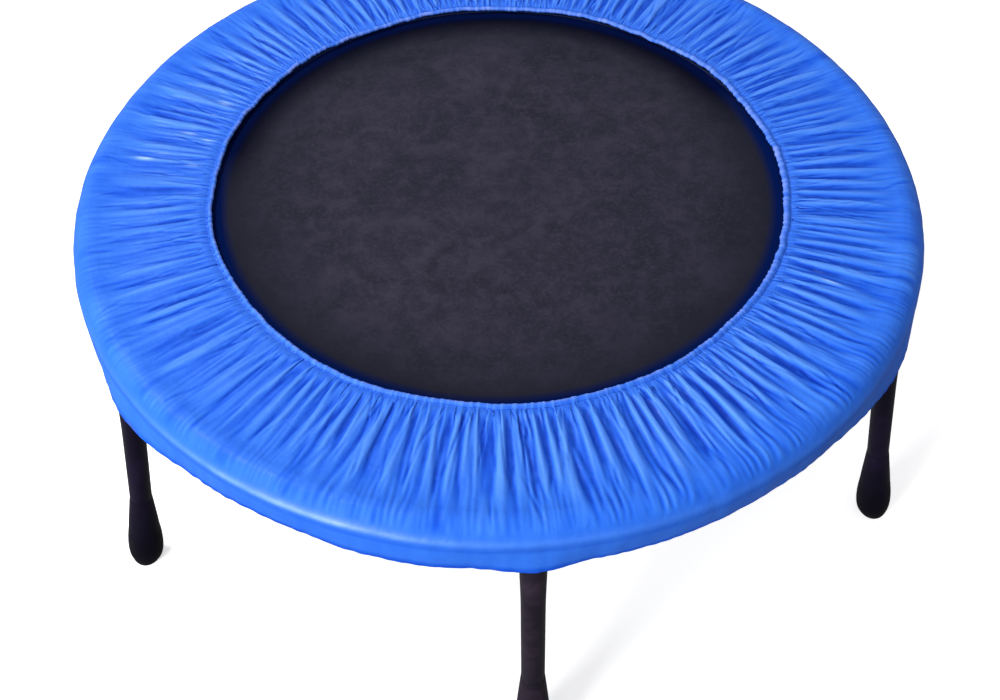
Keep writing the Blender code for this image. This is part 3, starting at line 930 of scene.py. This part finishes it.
def skirt_rows():
    """The skirt, drawn in a little by its elastic and puckered at its turned lower hem."""
    share = (np.arange(1, SKIRT_STEPS + 1) / SKIRT_STEPS)[:, None]
    radius = (COVER_R - 0.0003 - 0.0010 * share - 0.0018 * share ** 3 + RIM_WAVE
              + 0.0006 * share * BELL + 0.0006 * share ** 4 * GATHERS
              + swell(ANGLES) * share)
    z = ROLL_Z - (ROLL_Z - SKIRT_LOW) * share * 0.98
    hem = polar(radius[-1] - 0.0008 + 0.0010 * np.cos(SKIRT_HEM), ANGLES,
                SKIRT_LOW + 0.0012 + 0.0010 * np.sin(SKIRT_HEM))
    return np.concatenate([polar(radius, ANGLES, z), hem])


def lining_rows(outer):
    """A plainer and coarser inner face that closes the shell."""
    rows = [polar(radius, ANGLES[::COARSE], float(flat_height(radius)) - drop)
            for radius, drop in zip(LINING_R, LINING_DROP)]
    last = len(outer) - 4
    picked = list(range(RIM_ROWS.start + 4, last + 1, 3)) + [last]
    below = outer[picked][:, ::COARSE].copy()
    radius = np.linalg.norm(below[..., :2], axis=-1)
    inset = np.stack([radius - ROLL_R, np.maximum(below[..., 2] - ROLL_Z, 0)], -1)
    inset *= 0.0020 / np.linalg.norm(inset, axis=-1)[..., None]
    below[..., :2] *= ((radius - inset[..., 0]) / radius)[..., None]
    below[..., 2] -= inset[..., 1]
    return np.concatenate([np.stack(rows), below])


def bridge(fine_start, coarse_start, flip):
    """Triangles that join a ring of the outer face to a ring of the lining."""
    faces = []
    count = COLUMNS // COARSE
    for c in range(count):
        here, after = coarse_start + c, coarse_start + (c + 1) % count
        f = [fine_start + (COARSE * c + k) % COLUMNS for k in range(5)]
        fan = [[here, f[0], f[1]], [here, f[1], f[2]], [here, f[2], after],
               [after, f[2], f[3]], [after, f[3], f[4]]]
        faces += [face[::-1] if flip else face for face in fan]
    return faces


# ------------------------------------------------------------ cover: painted values


def painted_shading_values(outer, fine, hold, scallop):
    """Painted shading for the colour, from how deep each point lies in its fold: 0 is painted
    shade in a valley, 1 a painted highlight on a ridge.
    """

    def above_mean(field, k):
        """Height above the mean of k columns to either side."""
        padded = np.concatenate([field[:, -k:], field, field[:, :k]], 1)
        total = np.cumsum(np.concatenate([np.zeros((len(field), 1)), padded], 1), 1)
        return field - (total[:, 2 * k + 1:] - total[:, :-2 * k - 1]) / (2 * k + 1)

    panel = 0.070 * streaks(waves=(24, 90), reach=16.0, seed=53, drift=0.06)
    heights = outer[TOP_ROWS, :, 2]
    values = np.empty(outer.shape[:2])
    # painted shading that follows the hem's ruffles
    values[:HEM] = np.clip(0.55 + 0.35 * scallop, 0, 1)
    # painted shade in the folds' valleys and painted highlight on their ridges, with broad
    # lighter and darker streaks
    values[TOP_ROWS] = np.clip(
        0.5 + above_mean(heights, 26) / 0.0062 + above_mean(heights, 6) / 0.0040
        + panel[:ROWS] * smoothstep(TOP_PLACE, 0.05, 0.3)[:, None], 0, 1)
    # on the rim: painted shading along its fine creases, painted shade where it turns down into
    # the skirt, and a painted highlight along its pressed edge
    values[RIM_ROWS] = np.clip(0.5 + fine[ROWS:] / 0.0026 + panel[ROWS:] * hold[ROWS:], 0, 1)
    values[RIM_ROWS] -= 0.10 * smoothstep(ROLL_DEGREES, 74, 90)
    values[RIM_ROWS] += 0.22 * hump(ROLL_DEGREES, 66, 9.0) * EDGE
    # the skirt is painted darker downward, as painted shade, with painted light and shade along
    # its gathers
    down = smoothstep(np.linspace(0, 1, SKIRT_STEPS + len(SKIRT_HEM)), 0.25, 1.0)[:, None]
    values[SKIRT_ROWS] = (0.55 - 0.08 * down
                          + 0.28 * (GATHERS * 0.5 + BELL * 0.5) * (0.35 + 0.65 * down))
    # the turned edge of the skirt lies in its own shade
    shade = np.array([0.34, 0.12, 0.10, 0.10, 0.10, 0.10])[:, None]
    values[-6:] += (shade - values[-6:]) * (0.25 + 0.75 * EDGE)
    return values


def sheen_values(shape):
    values = np.zeros(shape)
    values[:HEM] = 0.36
    values[TOP_ROWS] = (0.36 - 0.24 * smoothstep(TOP_PLACE, 0.45, 0.95))[:, None]
    values[RIM_ROWS] = (0.12 * (1 - 0.8 * smoothstep(ROLL_DEGREES, 20, 50))
                        + 0.62 * hump(ROLL_DEGREES, 63, 10.0) * EDGE)
    return values


def painted_glint_values(painted_shading):
    values = np.zeros(painted_shading.shape)
    for place, radius, length, width, amount in PAINTED_GLINTS:
        across = apart(ANGLES, place) * radius
        values[TOP_ROWS] += (amount * hump(across, 0, width)
                             * hump(TOP_R[:, None], radius, length))
    values = np.clip(values * (0.35 + 0.65 * smoothstep(painted_shading, 0.30, 0.65)), 0, 1)
    # a painted highlight also runs along the pressed edge at the front left
    run = hump(np.degrees(apart(ANGLES, -28.0)), 0, 15.0)
    run = run * np.clip(0.75 + 0.45 * FLUTTER, 0, 1)
    values[RIM_ROWS] += 0.34 * hump(ROLL_DEGREES, 66, 5.5) * run
    return values


def wear_and_highlight_values(shape, scallop):
    values = np.zeros(shape)
    patches = 0.55 + 0.6 * ripple(waves=(20, 90), seed=8, power=0.2) + 0.35 * scallop
    # wear and a painted highlight, strongest on the upper inner side of the bead
    values[:HEM] = HEM_WEAR_AND_HIGHLIGHT * np.clip(patches, 0.1, 1)
    return values


def build_hem_stitching(line):
    """Thread that dips in and out of the cloth along the stitch line."""
    count = 540
    stitches = []
    for k in range(count):
        first = (k + 0.12) / count * COLUMNS
        path = []
        for q in np.linspace(0, 0.72, 5):
            x = (first + q * COLUMNS / count) % COLUMNS
            i = int(x)
            t = x - i
            lift = 0.00035 * math.sin(math.pi * q / 0.72) - 0.00010
            path.append(line[i] * (1 - t) + line[(i + 1) % COLUMNS] * t
                        + np.array([0, 0, lift]))
        stitches.append(sweep(path, [0.00018, 0.00030, 0.00032, 0.00030, 0.00018], sides=5))
    thread = make("hem_stitching", merge(stitches), THREAD_BLUE, outward=False)
    fit(thread, "frame")


def build_cover():
    cloth = gather(560)
    hold = (smoothstep(PLACE, 0.02, 0.30) * (1 - smoothstep(PLACE, 1.10, 1.20)))[:, None]
    grain = (0.00016 * streaks(waves=(330, 560), reach=9.0, seed=51, drift=0.03)
             + 0.00022 * streaks(waves=(150, 330), reach=13.0, seed=52, drift=0.05))
    fine = creases() * (0.30 + 0.70 * DEPTH) + grain * GRAIN * hold
    # ruffles of the hem follow the folds just outside it
    ruffle = cloth[4, :, 2] - cloth[4, :, 2].mean()
    ruffle = np.clip(ruffle / (2.0 * ruffle.std() + 1e-9), -1, 1)
    scallop = 0.70 * ruffle + 0.30 * ripple(waves=(150, 300), seed=3)

    outer = np.concatenate([hem_rows(scallop), top_rows(cloth, fine), rim_rows(fine),
                            skirt_rows()])
    lining = lining_rows(outer)
    rows, lining_count = len(outer), len(lining)
    points, faces = merge([
        (outer.reshape(-1, 3), grid_faces(rows, COLUMNS, flip=True)),
        (lining.reshape(-1, 3), grid_faces(lining_count, COLUMNS // COARSE))])
    base = rows * COLUMNS
    faces += bridge(0, base, flip=False)
    faces += bridge(base - COLUMNS, base + (lining_count - 1) * (COLUMNS // COARSE), flip=True)
    cover = make("cover", (points, faces), COVER)

    painted_shading = painted_shading_values(outer, fine, hold, scallop)
    # each with its value on the lining
    painted = [("painted_shading", painted_shading, 0.25), ("sheen", sheen_values(painted_shading.shape), 0.0),
               ("painted_glint", painted_glint_values(painted_shading), 0.0),
               ("hem_wear_and_highlight", wear_and_highlight_values(painted_shading.shape, scallop), 0.0)]
    for name, values, inside in painted:
        attribute = cover.data.attributes.new(name, "FLOAT", "POINT")
        values = np.concatenate([values.reshape(-1), np.full(len(points) - base, inside)])
        attribute.data.foreach_set("value", values.astype(np.float32))
    fit(cover, "frame", "pad_cover")
    build_hem_stitching(outer[HEM])


build_cover()

# ------------------------------------------------------------ foam and elastic cords


def build_foam():
    """A sleeve round the upper and outer side of the ring."""
    inside, outside = 0.0113, 0.0172
    middle = (inside + outside) / 2
    profile = (arc(RING_R, RING_Z, outside, np.linspace(118, -18, 15))
               + arc(RING_R, RING_Z, middle, [-20])
               + arc(RING_R, RING_Z, inside, np.linspace(-18, 118, 15))
               + arc(RING_R, RING_Z, middle, [120.5]))
    foam = make("foam", spin(profile, 240, closed=True), FOAM)
    fit(foam, "frame", "foam_strip")


CORD_STEPS = 900
CORD_ANGLES = np.arange(CORD_STEPS) * TAU / CORD_STEPS


def build_cord(name, solid, radius, z, thickness, twist, wobble):
    """A braided cord; radius and z are one value for each of the cord's angles."""
    sides = 10
    along = CORD_ANGLES[:, None]
    a = (np.arange(sides) * TAU / sides)[None, :]
    strand = 1 + 0.10 * np.cos(3 * (a + twist * along)) * np.cos(3 * (a - twist * along))
    points = polar(radius[:, None] + thickness * strand * np.cos(a), along,
                   z[:, None] + thickness * strand * np.sin(a) + wobble * np.sin(37 * along))
    shape = points.reshape(-1, 3), grid_faces(CORD_STEPS, sides, wrap_rows=True)
    fit(make(name, shape, ELASTIC), "frame", solid)


def build_cords():
    def at_cord(values):
        return np.interp(CORD_ANGLES, ANGLES, values, period=TAU)

    build_cord("hem_cord", "hem_elastic", radius=BEAD_R + 0.0002 + at_cord(BEAD_SHIFT),
               z=BEAD_Z + at_cord(BEAD_LIFT), thickness=0.0010, twist=90, wobble=0.0)
    low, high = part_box("skirt_elastic")
    height = float((low[2] + high[2]) / 2) - 0.0045
    build_cord("skirt_cord", "skirt_elastic",
               radius=float(high[0]) - 0.0020 + swell(CORD_ANGLES),
               z=np.full(CORD_STEPS, height), thickness=0.0013, twist=120, wobble=0.0002)


build_foam()
build_cords()

# ------------------------------------------------------------ mat
FABRIC_R = 0.3325
FABRIC_THICK = 0.0009
FABRIC_SAG = 0.0012
WEB_HALF = 0.0021         # half thickness of the folded webbing

# upper half of the webbing's section, inner edge first: radius, height above the middle
WEB_UPPER = [
    (0.3305, 0.0012), (0.3309, WEB_HALF * 0.86), (0.3330, WEB_HALF * 0.98),
    (0.3390, WEB_HALF), (0.3445, WEB_HALF), (0.3480, WEB_HALF * 0.90)]

# half of a wire ring: distance out, distance to the side
V_RING = [(0.3400, 0.0084), (0.3470, 0.0080), (0.3540, 0.0060),
          (0.3615, 0.0038), (0.3648, 0.0022), (0.3655, 0.0)]


def build_fabric():
    upper = [(float(radius), MAT_TOP - FABRIC_SAG * (1 - (radius / FABRIC_R) ** 2))
             for radius in np.linspace(0, FABRIC_R, 30)]
    lower = [(radius, z - FABRIC_THICK) for radius, z in reversed(upper)]
    fabric = make("mat_fabric", spin(upper + lower, 192), WEAVE, sharp=40)
    fit(fabric, "mat", "jump_mat")


def build_webbing():
    """Webbing folded round the edge of the mat."""
    turns = [math.radians(degree) for degree in (60, 30, 0, -30, -60)]
    nose = [(0.3482 + 0.0017 * math.cos(a), WEB_HALF * 0.88 * math.sin(a)) for a in turns]
    section = WEB_UPPER + nose + [(radius, -z) for radius, z in reversed(WEB_UPPER)]
    profile = [(radius, MAT_MID + z) for radius, z in section]
    fit(make("mat_webbing", spin(profile, 300, closed=True), WEBBING), "mat")


def build_mat_stitching():
    """Two rows of stitching on each face of the webbing."""
    stitches = []
    for radius, count in ((0.3345, 300), (0.3455, 310)):
        for k in range(count):
            for side in (1, -1):
                path = []
                for q in np.linspace(0, 1, 4):
                    lift = WEB_HALF + 0.00010 + 0.00022 * math.sin(math.pi * q)
                    path.append(polar(radius, around(k, count, 0.12 + 0.70 * q),
                                      MAT_MID + side * lift))
                stitches.append(sweep(path, [0.0002, 0.00036, 0.00036, 0.0002], sides=5))
    thread = make("mat_stitching", merge(stitches), THREAD_DARK, outward=False)
    fit(thread, "mat")


def build_v_rings():
    """Wire V-rings sewn into the webbing."""
    path = [(x, -y, MAT_MID) for x, y in V_RING] + [(x, y, MAT_MID) for x, y in V_RING[-2::-1]]
    ring = sweep(smooth_curve(path, per_span=4), 0.00135, sides=8)
    rings = merge(moved(ring, facing(around(i, SPRINGS, 0.5))) for i in range(SPRINGS))
    fit(make("v_rings", rings, ZINC), "mat")


build_fabric()
build_webbing()
build_mat_stitching()
build_v_rings()

# ------------------------------------------------------------ coil springs
WIRE = 0.00115
COIL_R = 0.0060 - WIRE
HOOK_R = 0.0012           # radius the coil closes down to at its ends
TURNS = 25
STEPS_PER_TURN = 12
COIL_OUT, COIL_IN = 0.4460, 0.3815

# end hooks, outer end first: distance out, 0, height above the spring's axis
RING_HOOK = [
    (0.4618, 0.0, -0.0044), (0.4612, 0.0, -0.0018), (0.4592, 0.0, -0.0003),
    (0.4560, 0.0, 0.0), (0.4515, 0.0, 0.0), (0.4480, 0.0, 0.0002)]
MAT_HOOK = [
    (0.3800, 0.0, 0.0012), (0.3768, 0.0, 0.0026), (0.3725, 0.0, 0.0043),
    (0.3665, 0.0, 0.0052), (0.3622, 0.0, 0.0046), (0.3602, 0.0, 0.0020),
    (0.3600, 0.0, -0.0026)]


def spring_path():
    steps = TURNS * STEPS_PER_TURN
    t = np.arange(steps + 1) / steps
    grow = smoothstep(t, 0.0, 0.06) * (1 - smoothstep(t, 0.94, 1.0))
    radius = HOOK_R + (COIL_R - HOOK_R) * grow
    a = t * TURNS * TAU + math.pi / 2
    coil = np.stack([COIL_OUT + (COIL_IN - COIL_OUT) * t, radius * np.cos(a),
                     radius * np.sin(a)], -1)
    path = np.vstack([smooth_curve(RING_HOOK, per_span=4), coil,
                      smooth_curve(MAT_HOOK, per_span=4)])
    return path + np.array([0.0, 0.0, SPRING_Z])


def build_springs():
    spring = sweep(spring_path(), WIRE, sides=6)
    for i in range(SPRINGS):
        angle = around(i, SPRINGS, 0.5)
        coil = make("coil_%02d" % (i + 1), moved(spring, facing(angle)), SPRING_WIRE,
                    outward=False)
        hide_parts("spring_%02d" % (i + 1))
        start, end = ((radius * math.sin(angle), -radius * math.cos(angle), SPRING_Z)
                      for radius in (0.452, 0.374))
        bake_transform(coil)
        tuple(start)
        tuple(end)


build_springs()

# ------------------------------------------------------------ frame ring


def hole_cutter():
    """A cylinder for each spring's hole, through the inner side of the ring."""
    radius, length = 0.0026, 0.0175
    place = (Matrix.Translation((RING_R - 0.018, 0, SPRING_Z))
             @ Matrix.Rotation(math.pi / 2, 4, "Y"))
    cylinder = spin([(0, length), (radius, length), (radius, 0), (0, 0)], 16)
    return make("cut", merge(moved(cylinder, facing(around(i, SPRINGS, 0.5)) @ place)
                             for i in range(SPRINGS)), COAT)


def build_ring():
    steps, sides = 300, 24
    along = (np.arange(steps) * TAU / steps)[:, None]
    a = (np.arange(sides) * TAU / sides)[None, :]
    points = polar(RING_R + RING_TUBE * np.cos(a), along, RING_Z + RING_TUBE * np.sin(a))
    shape = points.reshape(-1, 3), grid_faces(steps, sides, wrap_rows=True)
    ring = make("ring_tube", shape, COAT)
    cutter = hole_cutter()
    holes = ring.modifiers.new("holes", "BOOLEAN")
    holes.operation = "DIFFERENCE"
    holes.solver = "EXACT"
    holes.object = cutter
    depsgraph = bpy.context.evaluated_depsgraph_get()
    mesh = bpy.data.meshes.new_from_object(ring.evaluated_get(depsgraph))
    ring.modifiers.clear()
    ring.data = mesh
    bpy.data.objects.remove(cutter, do_unlink=True)
    mesh.shade_smooth()
    mesh.set_sharp_from_angle(angle=math.radians(40))
    fit(ring, "frame", "frame_ring")


def build_bosses():
    """Sleeves under the ring that take the legs' studs."""
    profile = [(0.0053, BOSS_END + 0.0008), (0.0053, -0.0065), (0.0080, -0.0075),
               (0.0095, -0.0085), (0.0095, BOSS_END + 0.0010), (0.0087, BOSS_END),
               (0.0062, BOSS_END)]
    boss = spin(profile, 40, closed=True)
    bosses = merge(moved(boss, leg_frame(i)) for i in range(LEGS))
    fit(make("leg_bosses", bosses, COAT, sharp=40), "frame")


def build_welds():
    """A rippled bead where each boss meets the underside of the ring."""
    rng = np.random.default_rng(4)
    radius, steps = 0.0104, 96
    a = TAU * np.arange(steps) / steps
    x, y = radius * np.cos(a), radius * np.sin(a)
    z = -np.maximum(np.sqrt(RING_TUBE ** 2 - x * x), 0.0046) - 0.0004
    path = np.stack([x, y, z], -1)
    welds = []
    for i in range(LEGS):
        # the draw for the closing step is left unused
        uneven = rng.normal(size=steps + 1)[:-1]
        thickness = 0.0013 * (1 + 0.22 * np.sin(a * 22) + 0.08 * uneven)
        welds.append(moved(sweep(path, thickness, sides=8, closed=True), leg_frame(i)))
    fit(make("boss_welds", merge(welds), COAT), "frame")


build_ring()
build_bosses()
build_welds()

# ------------------------------------------------------------ legs
# heights along the leg's axis, from the ring's centre line
WASHER_TOP, WASHER_END = BOSS_END - 0.0003, BOSS_END - 0.0028
TUBE_TOP = WASHER_END - 0.0003
TUBE_END = -(LEG_LENGTH - 0.012)
TUBE_R = 0.0125
FLARE = 0.0015            # the tube's top is wider by this
FLOOR = -LEG_LENGTH
FOOT_TOP = 0.1200

# foot's outer side, from under the collar to the sole: radius, height above the floor
FOOT_SIDE = [
    (0.0135, 0.1140), (0.0142, 0.1060), (0.0152, 0.0955), (0.0160, 0.0870),
    (0.0169, 0.0770), (0.0178, 0.0660), (0.0190, 0.0550), (0.0199, 0.0450),
    (0.0204, 0.0350), (0.0204, 0.0260), (0.0199, 0.0190), (0.0189, 0.0130),
    (0.0176, 0.0082), (0.0161, 0.0045), (0.0147, 0.0022), (0.0137, 0.0008),
    (0.0127, -0.0004)]

# collar's lip, inner side first: radius, height above the floor
FOOT_LIP = [
    (0.01262, FOOT_TOP - 0.0003), (0.0127, FOOT_TOP), (0.0129, FOOT_TOP - 0.0004),
    (0.0130, FOOT_TOP - 0.0012), (0.0131, FOOT_TOP - 0.0030)]

# ribbed sole, outer side first: radius, height above the floor
FOOT_SOLE = [
    (0.0112, -0.0006), (0.0108, 0.0016), (0.0092, 0.0016), (0.0088, -0.0006),
    (0.0062, -0.0006), (0.0058, 0.0016), (0.0044, 0.0016), (0.0040, -0.0006),
    (0.0, -0.0006)]


def stud():
    """A stud with a helical thread: a grid whose radius follows the turn."""
    radius, depth, pitch, runout = 0.0050, 0.00085, 0.0015, 0.0022
    top, end = 0.0010, TUBE_TOP - 0.0004
    sides, rows_per_turn = 28, 8
    rows = int((top - end) / pitch * rows_per_turn) + 1
    z = np.linspace(top, end, rows)
    a = np.arange(sides) * TAU / sides
    phase = (z[:, None] / pitch + a[None, :] / TAU) % 1.0
    groove = np.clip(1.25 * np.abs(phase * 2 - 1) - 0.12, 0, 1)
    run = smoothstep(z, top, top - runout)[:, None]
    thread = (radius - depth * groove) * run + (radius - depth * 1.15) * (1 - run)
    points = np.stack([thread * np.cos(a)[None], thread * np.sin(a)[None],
                       np.broadcast_to(z[:, None], thread.shape)], -1).reshape(-1, 3)
    faces = grid_faces(rows, sides)
    faces.append(list(range(sides)))
    faces.append([(rows - 1) * sides + k for k in range(sides)][::-1])
    return points, faces


def build_tube(number, matrix):
    """A leg's tube with its flared, closed top and its stud."""
    profile = [(0.0, TUBE_TOP), (0.0052, TUBE_TOP), (0.0128, TUBE_TOP)]
    profile += arc(0.0128, TUBE_TOP - 0.0012, 0.0012, (60, 30, 0))
    profile += [(TUBE_R + FLARE - FLARE * float(smoothstep(q, 0.0, 1.0)) ** 0.75,
                 TUBE_TOP - 0.0012 - 0.080 * q) for q in np.linspace(0.05, 1, 12)]
    profile += [(TUBE_R, float(z)) for z in np.linspace(TUBE_TOP - 0.100, TUBE_END, 8)]
    profile += [(0.0118, TUBE_END - 0.0001), (0.0110, TUBE_END),
                (0.0110, TUBE_TOP - 0.0035), (0.0, TUBE_TOP - 0.0035)]
    tube = make("leg_tube_%d" % number, merge([spin(profile, 48), stud()]), COAT,
                sharp=35, matrix=matrix)
    tube.data.materials.append(ZINC)
    # the stud is bare plated steel
    inverse = matrix.inverted()
    for face in tube.data.polygons:
        x, y, z = inverse @ face.center
        if z > TUBE_TOP + 0.0001 and math.hypot(x, y) < 0.0052:
            face.material_index = 1
    fit(tube, "leg_%d" % number, "leg_%d" % number)


def build_washer(number, matrix):
    profile = [(0.0056, WASHER_TOP - 0.0003), (0.0060, WASHER_TOP), (0.0122, WASHER_TOP),
               (0.0128, WASHER_TOP - 0.0005), (0.0128, WASHER_END + 0.0005),
               (0.0122, WASHER_END), (0.0060, WASHER_END), (0.0056, WASHER_END + 0.0003)]
    washer = make("washer_%d" % number, spin(profile, 48, closed=True), ZINC,
                  sharp=50, matrix=matrix)
    fit(washer, "leg_washer_%d" % number, "leg_washer_%d" % number)


def build_foot(number, matrix):
    """Rubber foot: a lipped collar that swells to a bulb with a flat ribbed sole."""
    side = smooth_curve(FOOT_SIDE, per_span=3).tolist()
    profile = [(0.0, 0.0117), (0.01262, 0.0117)] + FOOT_LIP + side + FOOT_SOLE
    shape = spin([(radius, z + FLOOR) for radius, z in profile], 56)
    foot = make("foot_%d" % number, shape, RUBBER, sharp=50, outward=False)
    # the sole lies flat on the floor although the leg leans
    upright = np.array([vertex.co for vertex in foot.data.vertices])
    points, _ = moved((upright, None), matrix)
    height = upright[:, 2] - FLOOR
    sole = 1 - smoothstep(height, 0.0016, 0.0150)
    flat = np.maximum(height, 0.0) * matrix[2][2]
    points[:, 2] = np.maximum(points[:, 2] * (1 - sole) + flat * sole, 0.0)
    foot.data.vertices.foreach_set("co", points.reshape(-1))
    foot.data.update()
    orient(foot)
    fit(foot, "leg_%d" % number, "rubber_foot_%d" % number)


for leg in range(LEGS):
    for build in (build_tube, build_washer, build_foot):
        build(leg + 1, leg_frame(leg))

# ------------------------------------------------------------ floor, light, camera


def build_floor():
    """A white backdrop that the camera sees, but that throws no light up at the object."""
    look = Look("studio_floor", (0.9, 0.9, 0.9))
    look.finish((0.90, 0.90, 0.905), rough=0.75, specular=0.15)
    look.feed(look.shader.inputs["Emission Color"], (1.0, 1.0, 1.0))
    look.feed(look.shader.inputs["Emission Strength"], 0.55)
    # seen from beneath, the floor is open
    surface = look.node("ShaderNodeMixShader", "Shader", {
        0: look.node("ShaderNodeNewGeometry", "Backfacing", {}),
        1: look.shader.outputs["BSDF"],
        2: look.node("ShaderNodeBsdfTransparent", "BSDF", {})})
    look.feed(look.tree.nodes["Material Output"].inputs["Surface"], surface)
    half, z = 30, -0.0004
    corners = [(-half, -half, z), (half, -half, z), (half, half, z), (-half, half, z)]
    floor = make("studio_floor", (corners, [(0, 1, 2, 3)]), look.material,
                 smooth=False, outward=False)
    floor.visible_diffuse = False
    floor.visible_glossy = False


def add_light(name, place, size, energy):
    """A round light aimed at the middle of the trampoline."""
    light = bpy.data.lights.new(name, "AREA")
    light.shape = "DISK"
    light.size = size
    light.energy = energy
    obj = bpy.data.objects.new(name, light)
    bpy.context.scene.collection.objects.link(obj)
    obj.location = place
    aim = Vector((0, 0, 0.3)) - Vector(place)
    obj.rotation_euler = aim.to_track_quat("-Z", "Y").to_euler()


def build_world():
    """Brighter overhead and to the left, dim from below and from the right."""
    world = bpy.data.worlds.new("studio")
    bpy.context.scene.world = world
    world.use_nodes = True
    sky = Graph(world.node_tree)
    background = world.node_tree.nodes["Background"]
    sky.feed(background.inputs["Color"], (1.0, 1.0, 1.0))
    x, _, z = sky.axes(sky.node("ShaderNodeTexCoord", "Generated", {}))
    glow = sky.times(sky.remap(z, (-0.70, 0.60), to=(0.28, 0.66), smooth=True),
                     sky.remap(x, (-0.9, 0.9), to=(1.22, 0.69), smooth=True))
    # the camera itself sees plain white
    seen = sky.node("ShaderNodeLightPath", "Is Camera Ray", {})
    glow = sky.plus(sky.times(glow, sky.calc("SUBTRACT", 1.0, seen)), seen)
    sky.feed(background.inputs["Strength"], glow)


def build_camera():
    """In front and above, set off from a point at the height of the cover's top."""
    distance = 1.3856
    elevation = math.radians(50.76)
    shift_right, shift_up = 0.0020, -0.2048
    turn, roll = 0.0664, math.radians(-0.33)
    data = bpy.data.cameras.new("camera")
    data.sensor_width = 36.0
    data.lens = 43.2
    data.clip_end = 100.0
    camera = bpy.data.objects.new("camera", data)
    scene.collection.objects.link(camera)
    rotation = (Matrix.Rotation(-turn, 4, "Z")
                @ Matrix.Rotation(math.pi / 2 - elevation, 4, "X")
                @ Matrix.Rotation(roll, 4, "Z"))
    right = rotation @ Vector((1, 0, 0))
    up = rotation @ Vector((0, 1, 0))
    back = rotation @ Vector((0, 0, 1))
    place = Vector((0, 0, TOP)) + back * distance + right * shift_right + up * shift_up
    camera.matrix_world = Matrix.Translation(place) @ rotation
    scene.camera = camera


build_floor()
add_light("key", (-1.45, 0.55, 2.75), size=0.7, energy=38.0)
add_light("front_left", (-1.68, -2.00, 1.15), size=0.9, energy=56.0)
build_world()

scene = bpy.context.scene
scene.view_settings.view_transform = "Standard"
scene.view_settings.look = "None"
scene.view_settings.exposure = 0.0
scene.view_settings.gamma = 1.0
build_camera()
